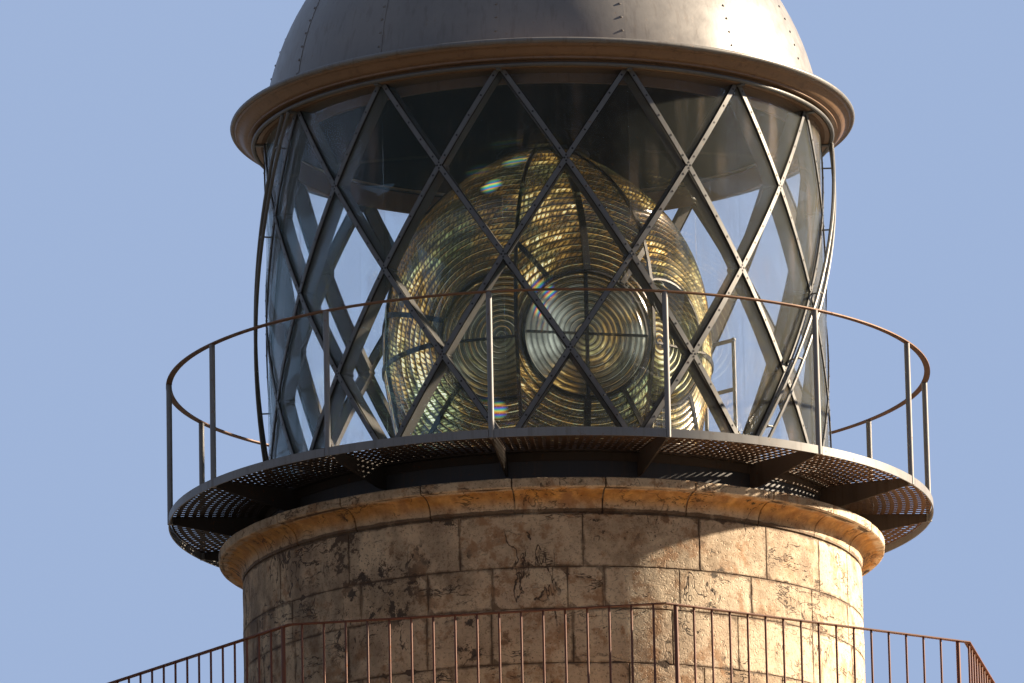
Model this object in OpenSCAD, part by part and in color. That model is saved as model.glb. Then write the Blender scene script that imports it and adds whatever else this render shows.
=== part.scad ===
// Lighthouse with an octagonal masonry tower, a railed terrace, a round stone drum,
// a steel gallery and a domed lantern with a turning lens.
// The front of the lantern faces -Y, and the ground is at z = 0.

/* [Tower] */
// Width of the octagonal tower across its flats
tower_across = 5080; // [4400:10:5300]
// Thickness of the tower wall
tower_wall = 520; // [350:10:800]
// Height of the tower wall, from the ground to the terrace moulding
tower_h = 9710; // [8200:10:14000]
// Height of the plinth course at the foot of the wall
plinth_h = 620; // [300:10:1000]
// How far the plinth stands out from the wall
plinth_out = 110; // [40:5:200]
// Turn of the octagon, from a corner on the +X axis
octagon_turn = 13; // [0:0.5:45]
// Joint left between the stone faces
joint_gap = 0.6; // [0.3:0.1:1]
// Thickness of the ground floor
ground_floor_t = 160; // [100:10:300]

/* [Doors and windows] */
// Width of the entrance
door_w = 960; // [800:10:1200]
// Height of the entrance above the ground floor
door_h = 2080; // [1900:10:2400]
// Width of the stair windows
window_w = 520; // [400:10:800]
// Height of the stair windows
window_h = 900; // [600:10:1200]
// Sill height of the lowest window
window_sill = 3500; // [3000:50:3800]
// Height from one window sill to the next
window_rise = 2900; // [2300:50:3000]
// Width of the terrace door
hatch_w = 620; // [500:10:680]
// Height of the terrace door
hatch_h = 1420; // [1100:10:1500]
// Thickness of the frames round doors and windows
frame_t = 55; // [35:5:80]
// Thickness of the door leaves
leaf_t = 45; // [30:5:60]

/* [Terrace] */
// Height of the terrace moulding, from the tower wall to the terrace floor
terrace_h = 440; // [380:10:600]
// Width of the terrace across its flats
terrace_across = 5700; // [5400:10:6200]
// Distance from the terrace's edge to the middle of the railing
railing_inset = 112; // [70:2:200]
// Height of the railing above the terrace floor
railing_h = 1040; // [900:10:1200]
// Width of the flat rails
railing_flat_w = 40; // [34:2:70]
// Thickness of the flat rails
railing_flat_t = 6; // [5:1:12]
// Diameter of the round bars
railing_bar_d = 14; // [10:1:22]
// Bars on each side, with the posts
railing_bars = 17; // [13:1:21]
// Distance from each corner to the nearest bar
railing_end = 73.5; // [60:0.5:90]
// Diameter of the posts, which stand at both ends of every second side
railing_post_d = 26; // [20:1:30]

/* [Drum] */
// Outer radius of the stone drum
drum_r = 1945; // [1900:5:1990]
// Thickness of the drum wall
drum_wall = 345; // [250:5:400]
// Height of the drum, from the terrace floor to the cornice
drum_h = 1810; // [1650:10:2400]
// Height of the cornice
cornice_h = 190; // [150:5:260]
// Outer radius of the cornice
cornice_r = 2100; // [2060:5:2180]

/* [Gallery] */
// Height of the low iron wall under the lantern
murette_h = 195; // [165:5:300]
// Outer radius of the low iron wall
murette_r = 1800; // [1780:5:1850]
// Thickness of the low iron wall
murette_t = 60; // [30:5:100]
// Outer radius of the gallery
gallery_r = 2412; // [2300:2:2500]
// Thickness of the gallery's floor sheets
floor_t = 8; // [5:1:14]
// Depth of the fascia round the gallery
fascia_h = 52; // [40:2:90]
// Thickness of the fascia
fascia_t = 8; // [5:1:14]
// Height of the gallery's handrail
handrail_h = 860; // [750:10:1100]
// Width of the handrail's flat bar
handrail_w = 38; // [30:2:60]
// Thickness of the handrail's flat bar
handrail_t = 7; // [5:1:12]
// Diameter of the gallery posts
post_d = 36; // [28:1:46]
// Depth of the brackets at the wall
bracket_h = 150; // [110:5:160]
// Thickness of the brackets
bracket_t = 12; // [8:1:20]

/* [Lantern] */
// Bays round the lantern, the gallery and the dome
bays = 14; // [12:1:16]
// Turn of the first bay from the front
first_bay = -8.3; // [-15:0.1:15]
// Height of the glazing
glazing_h = 2380; // [2000:10:2800]
// Height from one row of crossings in the glazing to the next
row_h = 600; // [560:5:640]
// Outer radius of the glass
glass_r = 1775; // [1765:1:1785]
// Thickness of the glass
glass_t = 10; // [8:1:14]
// Width of the glazing bars
bar_w = 30; // [20:1:44]
// Depth of the glazing bars inside the glass
bar_d = 95; // [60:5:110]
// Thickness of the cover strips outside the glass
strip_t = 9; // [6:1:12]
// Height of the kerb ring under the glazing
kerb_h = 85; // [60:5:120]
// Height of the head ring above the glazing
head_h = 72; // [60:2:120]
// Distance of the ring rail's outside from the glass, round the head of the glazing
ring_rail_out = 86; // [80:1:95]
// Diameter of the ring rail's tube
ring_rail_d = 27; // [18:1:34]
// Diameter of the climbing rails' tubes
climb_d = 24; // [16:1:30]
// Distance between the two tubes of a climbing rail
climb_gap = 84; // [60:2:120]

/* [Dome] */
// Outer radius of the dome
dome_r = 1794; // [1785:1:1800]
// Thickness of the dome's sheet, with its inner lining
dome_t = 14; // [10:1:30]
// Outer radius of the eave moulding
eave_r = 1995; // [1970:1:2060]
// Height of the eave moulding
eave_h = 150; // [130:5:180]
// Width of the straps over the dome's seams
seam_w = 30; // [20:2:60]
// Radius of the ventilator's neck
vent_r = 290; // [220:5:340]
// Height of the lightning rod above the ventilator ball
rod_h = 900; // [500:50:1500]

/* [Lens] */
// Height of the focal plane above the gallery floor
focal_h = 935; // [850:5:1050]
// Greatest radius of the lens
lens_r = 1045; // [980:5:1060]
// Height of the lens above the focal plane
lens_up = 1385; // [1250:5:1400]
// Depth of the lens below the focal plane
lens_down = 1180; // [1050:5:1200]
// Thickness of the prisms
prism_t = 62; // [40:2:80]
// Angle between the axes of neighbouring bull's eyes in a group of three
axis_step = 31.5; // [30:0.5:36]
// Half the angle of the middle panel
panel_half = 24.9; // [24.4:0.1:28]
// Radius of the bull's eyes
eye_r = 390; // [340:5:400]
// Thickness of the round frames of the bull's eyes
eye_frame_t = 12; // [8:1:16]
// Rings of glass in a bull's eye
eye_rings = 7; // [4:1:9]
// Radius of the pedestal's foot
pedestal_r = 560; // [450:10:620]
// Radius of the pedestal's shaft
pedestal_waist = 380; // [300:10:420]
// Thickness of the bronze ribs
rib_t = 22; // [14:1:34]
// Turn of the group's middle axis from the front
lens_turn = 14.5; // [0:0.5:60]

/* [Hidden] */

stone = [0.72, 0.60, 0.44];
iron = [0.33, 0.34, 0.35];
metal = [0.52, 0.53, 0.54];
bronze = [0.20, 0.17, 0.13];
red_brown = [0.38, 0.16, 0.11];
lens_glass = [0.66, 0.66, 0.40];
pane_glass = [0.62, 0.74, 0.80, 0.4];

sides = 8;
side_angle = 360 / sides;
half_tan = tan(side_angle / 2);
bay = 360 / bays;
front = -90;
round_fn = 180;
fit = 0.3;
bed = 0.1;

terrace_z = tower_h + terrace_h;
cornice_z = terrace_z + drum_h;
murette_z = cornice_z + cornice_h;
kerb_z = murette_z + murette_h;
gallery_z = kerb_z + kerb_h / 2;
glazing_z = kerb_z + kerb_h;
head_z = glazing_z + glazing_h;
dome_z = head_z + head_h;
dome_centre_z = dome_z - sqrt(dome_r * dome_r - pow(dome_r - 3, 2));
drum_in_r = drum_r - drum_wall;
kerb_in_r = glass_r - glass_t - bar_d - 20;

// Places children at a bay's angle, where part is a share of one bay
module at_bay(k, part = 0) { rotate([0, 0, front + first_bay + (k + part) * bay]) children(); }
// Repeats children once per bay
module each_bay(part = 0) { for (k = [0 : bays - 1]) at_bay(k, part) children(); }
// Turns children to one side of the octagon, with +X pointing outwards
module at_side(k) { rotate([0, 0, octagon_turn + (k + 0.5) * side_angle]) children(); }
// Part of a ring between two angles, with a rectangular section
module arc_bar(r_in, r_out, h, from, to) {
  rotate([0, 0, from]) rotate_extrude(angle = to - from, $fn = round_fn)
    translate([r_in, 0]) square([r_out - r_in, h]);
}
// Whole ring with a rectangular section
module ring_bar(r_in, r_out, h) {
  rotate_extrude($fn = round_fn) translate([r_in, 0]) square([r_out - r_in, h]);
}
// Box that stands on z = 0, centred on the other two axes
module plinth_box(x, y, z) { translate([-x / 2, -y / 2, 0]) cube([x, y, z]); }

// Tower
tower_flat = tower_across / 2;
front_side = 5;
back_side = (front_side + sides / 2) % sides;

module wall_outline(outer, inner) {
  gap = joint_gap / 2 / cos(side_angle / 2);
  polygon([[inner, -inner * half_tan + gap], [outer, -outer * half_tan + gap],
    [outer, outer * half_tan - gap], [inner, inner * half_tan - gap]]);
}
module through_wall(w, h) {
  translate([tower_flat - tower_wall - 50, -w / 2, 0]) cube([tower_wall + plinth_out + 100, w, h]);
}
module window_places() {
  for (row = [0 : 1]) {
    at_side(front_side) translate([0, 0, window_sill + row * window_rise]) children();
    at_side(back_side) translate([0, 0, window_sill - window_rise / 2 + row * window_rise]) children();
  }
}
module walls_at(list) {
  difference() {
    for (k = list) at_side(k) linear_extrude(tower_h - bed) wall_outline(tower_flat, tower_flat - tower_wall);
    at_side(front_side) translate([0, 0, ground_floor_t]) through_wall(door_w, door_h);
    window_places() through_wall(window_w, window_h);
  }
}
module tower_walls() { color(stone) walls_at([for (k = [1 : 2 : sides - 1]) k]); }
module tower_corner_walls() { color(stone) walls_at([for (k = [0 : 2 : sides - 2]) k]); }
module plinth_course() {
  color(stone) difference() {
    for (k = [0 : sides - 1]) at_side(k) linear_extrude(plinth_h, convexity = 2)
      wall_outline(tower_flat + plinth_out, tower_flat + fit);
    at_side(front_side) translate([0, 0, -1]) through_wall(door_w, plinth_h + 2);
  }
}
module ground_floor() {
  color(stone) rotate([0, 0, octagon_turn])
    cylinder(r = (tower_flat - tower_wall - fit) / cos(side_angle / 2), h = ground_floor_t, $fn = sides);
}
module frame_of(w, h, depth, sill) {
  rotate([90, 0, 90]) linear_extrude(depth) difference() {
    translate([-w / 2, 0]) square([w, h]);
    translate([-w / 2 + frame_t, sill]) square([w - 2 * frame_t, h - frame_t - sill]);
  }
}
frame_x = tower_flat - 260;
module entrance_frame() {
  color(iron) at_side(front_side) translate([frame_x, 0, ground_floor_t]) frame_of(door_w, door_h, 90, 0);
}
module entrance_door() {
  w = door_w - 2 * frame_t - 2 * fit;
  h = door_h - frame_t - 2 * fit;
  color(red_brown) at_side(front_side) translate([frame_x + 20, -w / 2, ground_floor_t + fit]) difference() {
    cube([leaf_t, w, h]);
    for (row = [0 : 2], col = [0 : 1])
      translate([leaf_t - 12, 70 + col * (w - 70) / 2, 110 + row * (h - 110) / 3])
        cube([20, (w - 210) / 2, (h - 440) / 3 + 40]);
  }
}
module window_frames() {
  color(iron) window_places() translate([frame_x, 0, 0]) {
    frame_of(window_w, window_h, 70, frame_t);
    translate([25, -frame_t / 4, frame_t]) cube([24, frame_t / 2, window_h - 2 * frame_t]);
    translate([25, -window_w / 2 + frame_t, window_h / 2 - frame_t / 4])
      cube([24, window_w - 2 * frame_t, frame_t / 2]);
  }
}
module window_panes() {
  w = window_w - 2 * frame_t;
  color(pane_glass) window_places()
    translate([frame_x + 10, -w / 2 + fit, frame_t + fit]) cube([6, w - 2 * fit, window_h - 2 * frame_t - 2 * fit]);
}

// Terrace
terrace_flat = terrace_across / 2;
railing_flat = terrace_flat - railing_inset;
railing_side = 2 * railing_flat * half_tan;

// Outline of the terrace and its moulding through a corner of the octagon
module terrace_profile() {
  start = tower_flat + 30;
  slab = 150;
  lip = 46;
  chamfer = 12;
  foot = 50;
  hollow = terrace_flat - 40 - start;
  drop = terrace_h - slab - lip - foot;
  outline = concat([[start, 0], [start, foot]],
    [for (a = [0 : 15 : 90]) [start + hollow * (1 - cos(a)), foot + drop * sin(a)]],
    [[start + hollow, foot + drop + lip], [terrace_flat - chamfer, terrace_h - slab],
     [terrace_flat, terrace_h - slab + chamfer], [terrace_flat, terrace_h - chamfer],
     [terrace_flat - chamfer, terrace_h]]);
  polygon(concat([[0, 0]], [for (p = outline) [p[0] / cos(side_angle / 2), p[1]]], [[0, terrace_h]]));
}
module terrace() {
  color(stone) translate([0, 0, tower_h]) rotate([0, 0, octagon_turn])
    rotate_extrude($fn = sides) terrace_profile();
}
function bar_y(i) = (i / (railing_bars - 1) - 0.5) * (railing_side - 2 * railing_end);
rail_low = 90;

module railing_posts() {
  color(red_brown) for (k = [0 : 2 : sides - 1], i = [0, railing_bars - 1])
    at_side(k) translate([railing_flat, bar_y(i), terrace_z + bed]) {
      cylinder(d = railing_post_d, h = railing_h - railing_flat_t - 2 * bed, $fn = 24);
      cylinder(d = railing_post_d + 50, h = 10, $fn = 24);
    }
}
// Outline of a flat rail, mitred at the corners of the octagon
module rail_outline() {
  half_w = railing_flat_w / 2;
  inner = (railing_flat - half_w) * half_tan - joint_gap / 2;
  outer = (railing_flat + half_w) * half_tan - joint_gap / 2;
  polygon([[-half_w, -inner], [half_w, -outer], [half_w, outer], [-half_w, inner]]);
}
// One side's rails and bars, where every second side leaves its end bars to the posts
module railing_panel(own_ends) {
  ends = own_ends ? 0 : 1;
  difference() {
    union() {
      for (z = [rail_low, railing_h - railing_flat_t]) translate([0, 0, z])
        linear_extrude(railing_flat_t) rail_outline();
      for (i = [ends : railing_bars - 1 - ends]) translate([0, bar_y(i), rail_low + railing_flat_t / 2])
        cylinder(d = railing_bar_d, h = railing_h - rail_low - railing_flat_t, $fn = 16);
    }
    if (!own_ends) for (i = [0, railing_bars - 1]) translate([0, bar_y(i), rail_low - 1])
      cylinder(d = railing_post_d + 2 * fit, h = railing_flat_t + 2, $fn = 24);
  }
}
module railing_panels() {
  color(red_brown) for (k = [0 : sides - 1])
    at_side(k) translate([railing_flat, 0, terrace_z]) railing_panel(k % 2 == 1);
}

// Drum
drum_parts = 12;
drum_part = 360 / drum_parts;
hatch_turn = octagon_turn + (back_side + 0.5) * side_angle;

module ring_parts(list) {
  for (k = list) rotate([0, 0, hatch_turn + (k - 0.5) * drum_part]) children();
}
module drum_wall() {
  gap = joint_gap / 2 / drum_in_r * 180 / PI;
  color(stone) difference() {
    ring_parts([0 : drum_parts - 1]) translate([0, 0, terrace_z + bed])
      arc_bar(drum_in_r, drum_r, drum_h - bed, gap, drum_part - gap);
    rotate([0, 0, hatch_turn]) translate([drum_in_r - 100, -hatch_w / 2, terrace_z + 60])
      cube([drum_wall + 200, hatch_w, hatch_h]);
  }
}
hatch_x = drum_r - 170;
module terrace_door_frame() {
  color(iron) rotate([0, 0, hatch_turn]) translate([hatch_x, 0, terrace_z + 60]) frame_of(hatch_w, hatch_h, 80, frame_t);
}
module terrace_door() {
  w = hatch_w - 2 * frame_t - 2 * fit;
  h = hatch_h - 2 * frame_t - 2 * fit;
  color(iron) rotate([0, 0, hatch_turn]) translate([hatch_x + 20, -w / 2, terrace_z + 60 + frame_t + fit]) difference() {
    cube([leaf_t, w, h]);
    for (row = [0 : 1]) translate([leaf_t - 10, 60, 60 + row * (h - 60) / 2]) cube([20, w - 120, (h - 180) / 2]);
  }
}
module cornice_profile() {
  out = cornice_r - drum_r;
  fillet = 58;
  polygon(concat([[drum_in_r, 0], [drum_r + 6, 0], [drum_r + 6, 26]],
    [for (a = [0 : 15 : 90]) [drum_r + 8 + (out - 34) * (1 - cos(a)), 26 + (cornice_h - fillet - 26) * sin(a)]],
    [[cornice_r - 8, cornice_h - fillet], [cornice_r, cornice_h - fillet + 8],
     [cornice_r, cornice_h - 8], [cornice_r - 8, cornice_h - bed], [drum_in_r, cornice_h - bed]]));
}
module stone_cornice() {
  gap = joint_gap / 2 / drum_in_r * 180 / PI;
  color(stone) ring_parts([0 : drum_parts - 1]) translate([0, 0, cornice_z + bed]) rotate([0, 0, gap])
    rotate_extrude(angle = drum_part - 2 * gap, $fn = round_fn) cornice_profile();
}

// Gallery
floor_in_r = murette_r + fit;
fascia_in_r = gallery_r - fascia_t;
post_out = 7;
post_r = gallery_r + post_out - post_d / 2;
post_in_r = post_r - post_d / 2;
post_at_fascia = sqrt(pow(post_d / 2, 2) - pow(fascia_in_r - post_r, 2));
module murette() {
  gap = joint_gap / 2 / murette_r * 180 / PI;
  color(iron) translate([0, 0, murette_z + bed]) each_bay()
    arc_bar(murette_r - murette_t, murette_r, murette_h - 2 * bed, gap, bay - gap);
}
bracket_gap = (bracket_t / 2 + fit) / floor_in_r * 180 / PI;
module gallery_ledger() {
  leg = 58;
  web = 8;
  color(iron) translate([0, 0, gallery_z - floor_t]) each_bay() rotate([0, 0, bracket_gap])
    rotate_extrude(angle = bay - 2 * bracket_gap, $fn = round_fn) translate([floor_in_r, 0])
      polygon([[0, 0], [0, -leg], [web, -leg], [web, -web], [leg, -web], [leg, 0]]);
}
module gallery_brackets() {
  tip = fascia_h - floor_t;
  reach = post_in_r - floor_in_r - fit;
  color(metal) each_bay() translate([floor_in_r, bracket_t / 2, gallery_z - floor_t - bed])
    rotate([90, 0, 0]) linear_extrude(bracket_t)
      polygon([[0, 0], [0, -bracket_h], [70, -bracket_h], [reach, -tip], [reach, 0]]);
}
module gallery_floor() {
  gap = 1.5 / gallery_r * 180 / PI;
  color(metal) translate([0, 0, gallery_z - floor_t]) each_bay() difference() {
    arc_bar(floor_in_r, fascia_in_r - fit, floor_t, gap, bay - gap);
    for (a = [0, bay]) rotate([0, 0, a]) translate([post_r, 0, -1])
      cylinder(d = post_d + 2 * fit, h = floor_t + 2, $fn = 32);
  }
}
module gallery_fascia() {
  gap = (post_at_fascia + fit) / fascia_in_r * 180 / PI;
  color(metal) translate([0, 0, gallery_z - fascia_h]) each_bay()
    arc_bar(fascia_in_r, gallery_r, fascia_h, gap, bay - gap);
}
module gallery_posts() {
  color(metal) each_bay() translate([post_r, 0, gallery_z - fascia_h])
    cylinder(d = post_d, h = fascia_h + handrail_h - handrail_t - bed, $fn = 32);
}
module gallery_handrail() {
  color(metal) translate([0, 0, gallery_z + handrail_h - handrail_t])
    ring_bar(post_r - handrail_w / 2, post_r + handrail_w / 2, handrail_t);
}

// Lantern
lattice_rows = 4;
lattice_top = head_z + 27;
row_angle = bay / 2;
bar_out_r = glass_r - glass_t - fit;
bar_in_r = bar_out_r - bar_d;
strip_in_r = glass_r + fit;
ring_rail_r = glass_r + ring_rail_out;

// One straight piece of a glazing bar, from crossing to crossing
module bar_piece(width, r_in, r_out, hand) {
  chord = 2 * r_out * sin(row_angle / 2);
  translate([(r_in + r_out) / 2, 0, 0]) rotate([hand * atan2(chord, row_h), 0, 0])
    cube([2 * (r_out - r_in) + 60, width, sqrt(chord * chord + row_h * row_h) + width * 0.6], center = true);
}
module lattice(width, r_in, r_out) {
  intersection() {
    translate([0, 0, glazing_z]) ring_bar(r_in, r_out, glazing_h);
    for (k = [0 : bays - 1], row = [0 : lattice_rows - 1], hand = [-1, 1])
      at_bay(k, hand * (row + 0.5) / 2) translate([0, 0, lattice_top - (row + 0.5) * row_h])
        bar_piece(width, r_in, r_out, hand);
  }
}
module lantern_kerb() { color(iron) translate([0, 0, kerb_z]) ring_bar(kerb_in_r, murette_r, kerb_h); }
module glazing_bars() { color(iron) lattice(bar_w, bar_in_r, bar_out_r); }
module cover_strips() { color(metal) lattice(bar_w, strip_in_r, strip_in_r + strip_t); }
module glass_panes() {
  gap = 1 / glass_r * 180 / PI;
  color(pane_glass) translate([0, 0, glazing_z + fit]) each_bay()
    arc_bar(glass_r - glass_t, glass_r, glazing_h - 2 * fit, gap, bay - gap);
}
module lantern_head() {
  color(iron) translate([0, 0, head_z]) {
    ring_bar(kerb_in_r, murette_r, head_h);
    translate([0, 0, -60]) ring_bar(kerb_in_r, bar_in_r - fit, 60 + head_h / 2);
  }
}
module service_floor() {
  color(iron) translate([0, 0, kerb_z - floor_t]) ring_bar(lens_r + 75, murette_r - murette_t - fit, floor_t);
}
module inner_handrail() {
  tube = 26;
  post_places = [[1190, 345], [1010, 525]];
  rise = 1240;
  span = norm(post_places[1] - post_places[0]);
  turn = atan2(post_places[1][1] - post_places[0][1], post_places[1][0] - post_places[0][0]);
  color(metal) {
    for (p = post_places) translate([p[0], p[1], kerb_z]) {
      cylinder(d = tube, h = rise, $fn = 24);
      cylinder(d = 2.6 * tube, h = 8, $fn = 24);
      translate([0, 0, rise]) sphere(d = 1.3 * tube, $fn = 24);
    }
    for (h = [rise, rise * 0.74]) translate([post_places[0][0], post_places[0][1], kerb_z + h])
      rotate([0, 90, turn]) cylinder(d = tube, h = span, $fn = 24);
  }
}

// Ring rail and climbing rails
ring_rail_z = head_z + 10.5;
ring_rail_mid_r = ring_rail_r - ring_rail_d / 2;
module ring_rail() {
  color(metal) translate([0, 0, ring_rail_z]) rotate_extrude($fn = round_fn)
    translate([ring_rail_mid_r, 0]) circle(d = ring_rail_d, $fn = 24);
}
module ring_rail_brackets() {
  width = 30;
  arm = 10;
  foot = strip_in_r + strip_t + 2;
  shoulder = murette_r + 1;
  tip = climb_r - climb_d / 2 - 0.5;
  under_eave = eave_z - head_z - fit;
  color(metal) each_bay() translate([0, width / 2, head_z]) rotate([90, 0, 0]) linear_extrude(width)
    polygon([[foot, -arm], [tip, -arm], [tip, under_eave], [shoulder, under_eave], [shoulder, 0], [foot, 0]]);
}
climb_r = ring_rail_r - climb_d / 2;
climb_tilt = atan2(climb_r * row_angle * PI / 180, row_h);
climb_top = ring_rail_z - ring_rail_d / 2 - climb_d / 2 * sin(climb_tilt) - 2 * fit;
climb_bays = [4, -2];
climb_steps = 30;
function helix_point(t, side) =
  let (z = glazing_z + 20 + t * (climb_top - glazing_z - 20),
       a = side / climb_r * 180 / PI - (lattice_top - z) / row_h * row_angle)
  [climb_r * cos(a), climb_r * sin(a), z];
function climb_section(t, side, j) =
  let (p = helix_point(t, side), out = [p[0], p[1], 0] / norm([p[0], p[1], 0]),
       along = helix_point(t + 0.01, side) - helix_point(t - 0.01, side),
       across = cross(along, out) / norm(cross(along, out)), a = 360 * j / 8)
  p + climb_d / 2 * (cos(a) * out + sin(a) * across);
module climb_tube(side) {
  points = [for (i = [0 : climb_steps], j = [0 : 7]) climb_section(i / climb_steps, side, j)];
  skin = [for (i = [0 : climb_steps - 1], j = [0 : 7])
    [i * 8 + j, i * 8 + (j + 1) % 8, (i + 1) * 8 + (j + 1) % 8, (i + 1) * 8 + j]];
  polyhedron(points, concat(skin, [[for (j = [7 : -1 : 0]) j]], [[for (j = [0 : 7]) climb_steps * 8 + j]]));
}
module climbing_rails() {
  color(metal) for (k = climb_bays, side = [-1, 1]) at_bay(k) climb_tube(side * climb_gap / 2);
}
module climbing_rungs() {
  rung_d = 14;
  foot_r = strip_in_r + strip_t + fit;
  rung = climb_gap - climb_d / cos(climb_tilt) - rung_d * tan(climb_tilt) - 2 * fit;
  color(metal) for (k = climb_bays, i = [0 : 4]) at_bay(k) {
    p = helix_point(0.08 + 0.21 * i, 0);
    rotate([0, 0, atan2(p[1], p[0])]) translate([0, 0, p[2]]) {
      translate([climb_r, rung / 2, 0]) rotate([90, 0, 0]) cylinder(d = rung_d, h = rung, $fn = 16);
      translate([foot_r, -rung_d / 2, -rung_d / 4]) cube([climb_r - foot_r, rung_d, rung_d / 2]);
    }
  }
}

// Eave and dome
eave_z = head_z + 2;
module eave_profile() {
  out = eave_r - murette_r;
  lip = 17;
  cyma_from = [out * 0.45, eave_h * 0.33];
  cyma_to = [out - 2 * lip, eave_h - 3.2 * lip];
  polygon(concat([[fit, 0], [out * 0.15, 0], [out * 0.15, eave_h * 0.24], [out * 0.42, eave_h * 0.24],
      [out * 0.42, eave_h * 0.32]],
    [for (t = [0 : 0.125 : 1]) [cyma_from[0] + (cyma_to[0] - cyma_from[0]) * t,
       cyma_from[1] + (cyma_to[1] - cyma_from[1]) * (t - 0.12 * sin(360 * t))]],
    [for (a = [-120 : 20 : 100]) [out - lip + lip * cos(a), eave_h - 1.6 * lip + lip * sin(a)]],
    [[out - 2.4 * lip, eave_h - 1.4 * lip], [out - 3.4 * lip, eave_h * 0.62], [fit, eave_h * 0.58]]));
}
module eave() {
  color(metal) translate([0, 0, eave_z]) rotate_extrude($fn = round_fn) translate([murette_r, 0]) eave_profile();
}
vent_z = dome_centre_z + sqrt(dome_r * dome_r - vent_r * vent_r);
module dome() {
  color(metal) difference() {
    translate([0, 0, dome_centre_z]) rotate_extrude($fn = round_fn) difference() {
      circle(r = dome_r, $fn = 240);
      circle(r = dome_r - dome_t, $fn = 240);
      translate([-2 * dome_r, -dome_r]) square([2 * dome_r, 2 * dome_r]);
      translate([-dome_r, -2 * dome_r]) square([3 * dome_r, 2 * dome_r + dome_z - dome_centre_z]);
      translate([0, 0]) square([vent_r - 40, 2 * dome_r]);
    }
  }
}
module dome_straps() {
  strap_t = 4;
  low = dome_z + 130 - dome_centre_z;
  color(metal) translate([0, 0, dome_centre_z]) difference() {
    intersection() {
      rotate_extrude($fn = round_fn) difference() {
        circle(r = dome_r + fit + strap_t, $fn = 240);
        circle(r = dome_r + fit, $fn = 240);
        translate([-2 * dome_r, -2 * dome_r]) square([2 * dome_r, 4 * dome_r]);
        translate([-dome_r, low - 2 * dome_r]) square([3 * dome_r, 2 * dome_r]);
      }
      each_bay() translate([vent_r + 60, -seam_w / 2, 0]) cube([dome_r, seam_w, 2 * dome_r]);
    }
  }
}
module ventilator() {
  flange = 40;
  neck = 210;
  ball_r = vent_r + 30;
  ball_z = neck + ball_r * 0.92;
  wall = 14;
  color(metal) translate([0, 0, vent_z + 1]) rotate_extrude($fn = round_fn) difference() {
    union() {
      square([vent_r, neck + 30]);
      translate([0, -flange]) square([vent_r + flange, flange + 24]);
      translate([0, neck - 20]) square([vent_r + 26, 44]);
      translate([0, ball_z]) circle(r = ball_r, $fn = 120);
      translate([0, ball_z + ball_r - 20]) square([60, 70]);
    }
    translate([-2 * ball_r, -2 * flange]) square([2 * ball_r, 2 * ball_z + 400]);
    translate([0, dome_centre_z - vent_z - 1]) circle(r = dome_r + fit, $fn = 240);
    translate([0, -2 * flange]) square([vent_r - wall, neck + 20 + 2 * flange]);
    intersection() {
      translate([0, ball_z]) circle(r = ball_r - wall, $fn = 120);
      translate([0, neck - 10]) square([ball_r, 2 * ball_r]);
    }
  }
}
module lightning_rod() {
  foot = vent_z + 1 + 210 + (vent_r + 30) * 1.92 + 50;
  color(metal) translate([0, 0, foot]) {
    cylinder(r = 34, h = 40, $fn = 32);
    cylinder(r1 = 16, r2 = 9, h = rod_h * 0.85, $fn = 32);
    translate([0, 0, rod_h * 0.85]) cylinder(r1 = 9, r2 = 1.5, h = rod_h * 0.15, $fn = 32);
  }
}

// Lens
focal_z = gallery_z + focal_h;
lens_foot_r = 800;
lens_foot_z = focal_z - lens_down;
table_h = 70;
table_z = lens_foot_z - table_h;
pedestal_top = table_z - fit;
spindle_r = 60;
vault = 1.0757;
function lens_radius(z) =
  z > 0 ? lens_r * pow(1 - pow(z / (lens_up * vault), 2.92), 0.826)
  : lens_r - (lens_r - lens_foot_r) * pow(-z / lens_down, 1.15);
lens_top_r = lens_radius(lens_up);
profile_z = concat([for (i = [0 : 4]) -lens_down * (1 - i / 5)], [for (i = [0 : 11]) lens_up * i / 11]);
module lens_outline(inset) {
  polygon(concat([for (z = profile_z) [lens_radius(z) - inset, z]],
    [for (i = [len(profile_z) - 1 : -1 : 0]) [lens_radius(profile_z[i]) - inset - prism_t, profile_z[i]]]));
}
module lens_pedestal() {
  height = pedestal_top - terrace_z - bed;
  color(iron) translate([0, 0, terrace_z + bed]) rotate_extrude($fn = 96) polygon([
    [0, 0], [pedestal_r, 0], [pedestal_r, 60], [pedestal_waist + 90, 90], [pedestal_waist, 160],
    [pedestal_waist, height - 260], [pedestal_waist + 90, height - 160], [pedestal_r + 80, height - 90],
    [pedestal_r + 80, height - 30], [pedestal_r, height], [spindle_r, height],
    [spindle_r, height + table_h - 15], [0, height + table_h - 15]]);
}
module lens_table() {
  bore_r = spindle_r + 0.08;
  color(bronze) translate([0, 0, table_z]) difference() {
    rotate_extrude($fn = 96) polygon([[bore_r, 0], [pedestal_r + 60, 0], [pedestal_r + 100, 20],
      [lens_foot_r + 30, 20], [lens_foot_r + 30, table_h], [bore_r, table_h]]);
  }
}
module lens_rib() {
  stand_out = 14;
  stand_in = 20;
  seat = 10;
  zs = concat([-lens_down + seat], [for (i = [1 : len(profile_z) - 2]) profile_z[i]], [lens_up + seat]);
  translate([0, rib_t / 2, 0]) rotate([90, 0, 0]) linear_extrude(rib_t) polygon(concat(
    [for (i = [0 : len(zs) - 1]) [lens_radius(profile_z[i]) + stand_out, zs[i]]],
    [for (i = [len(zs) - 1 : -1 : 0]) [lens_radius(profile_z[i]) - prism_t - stand_in, zs[i]]]));
}
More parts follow.
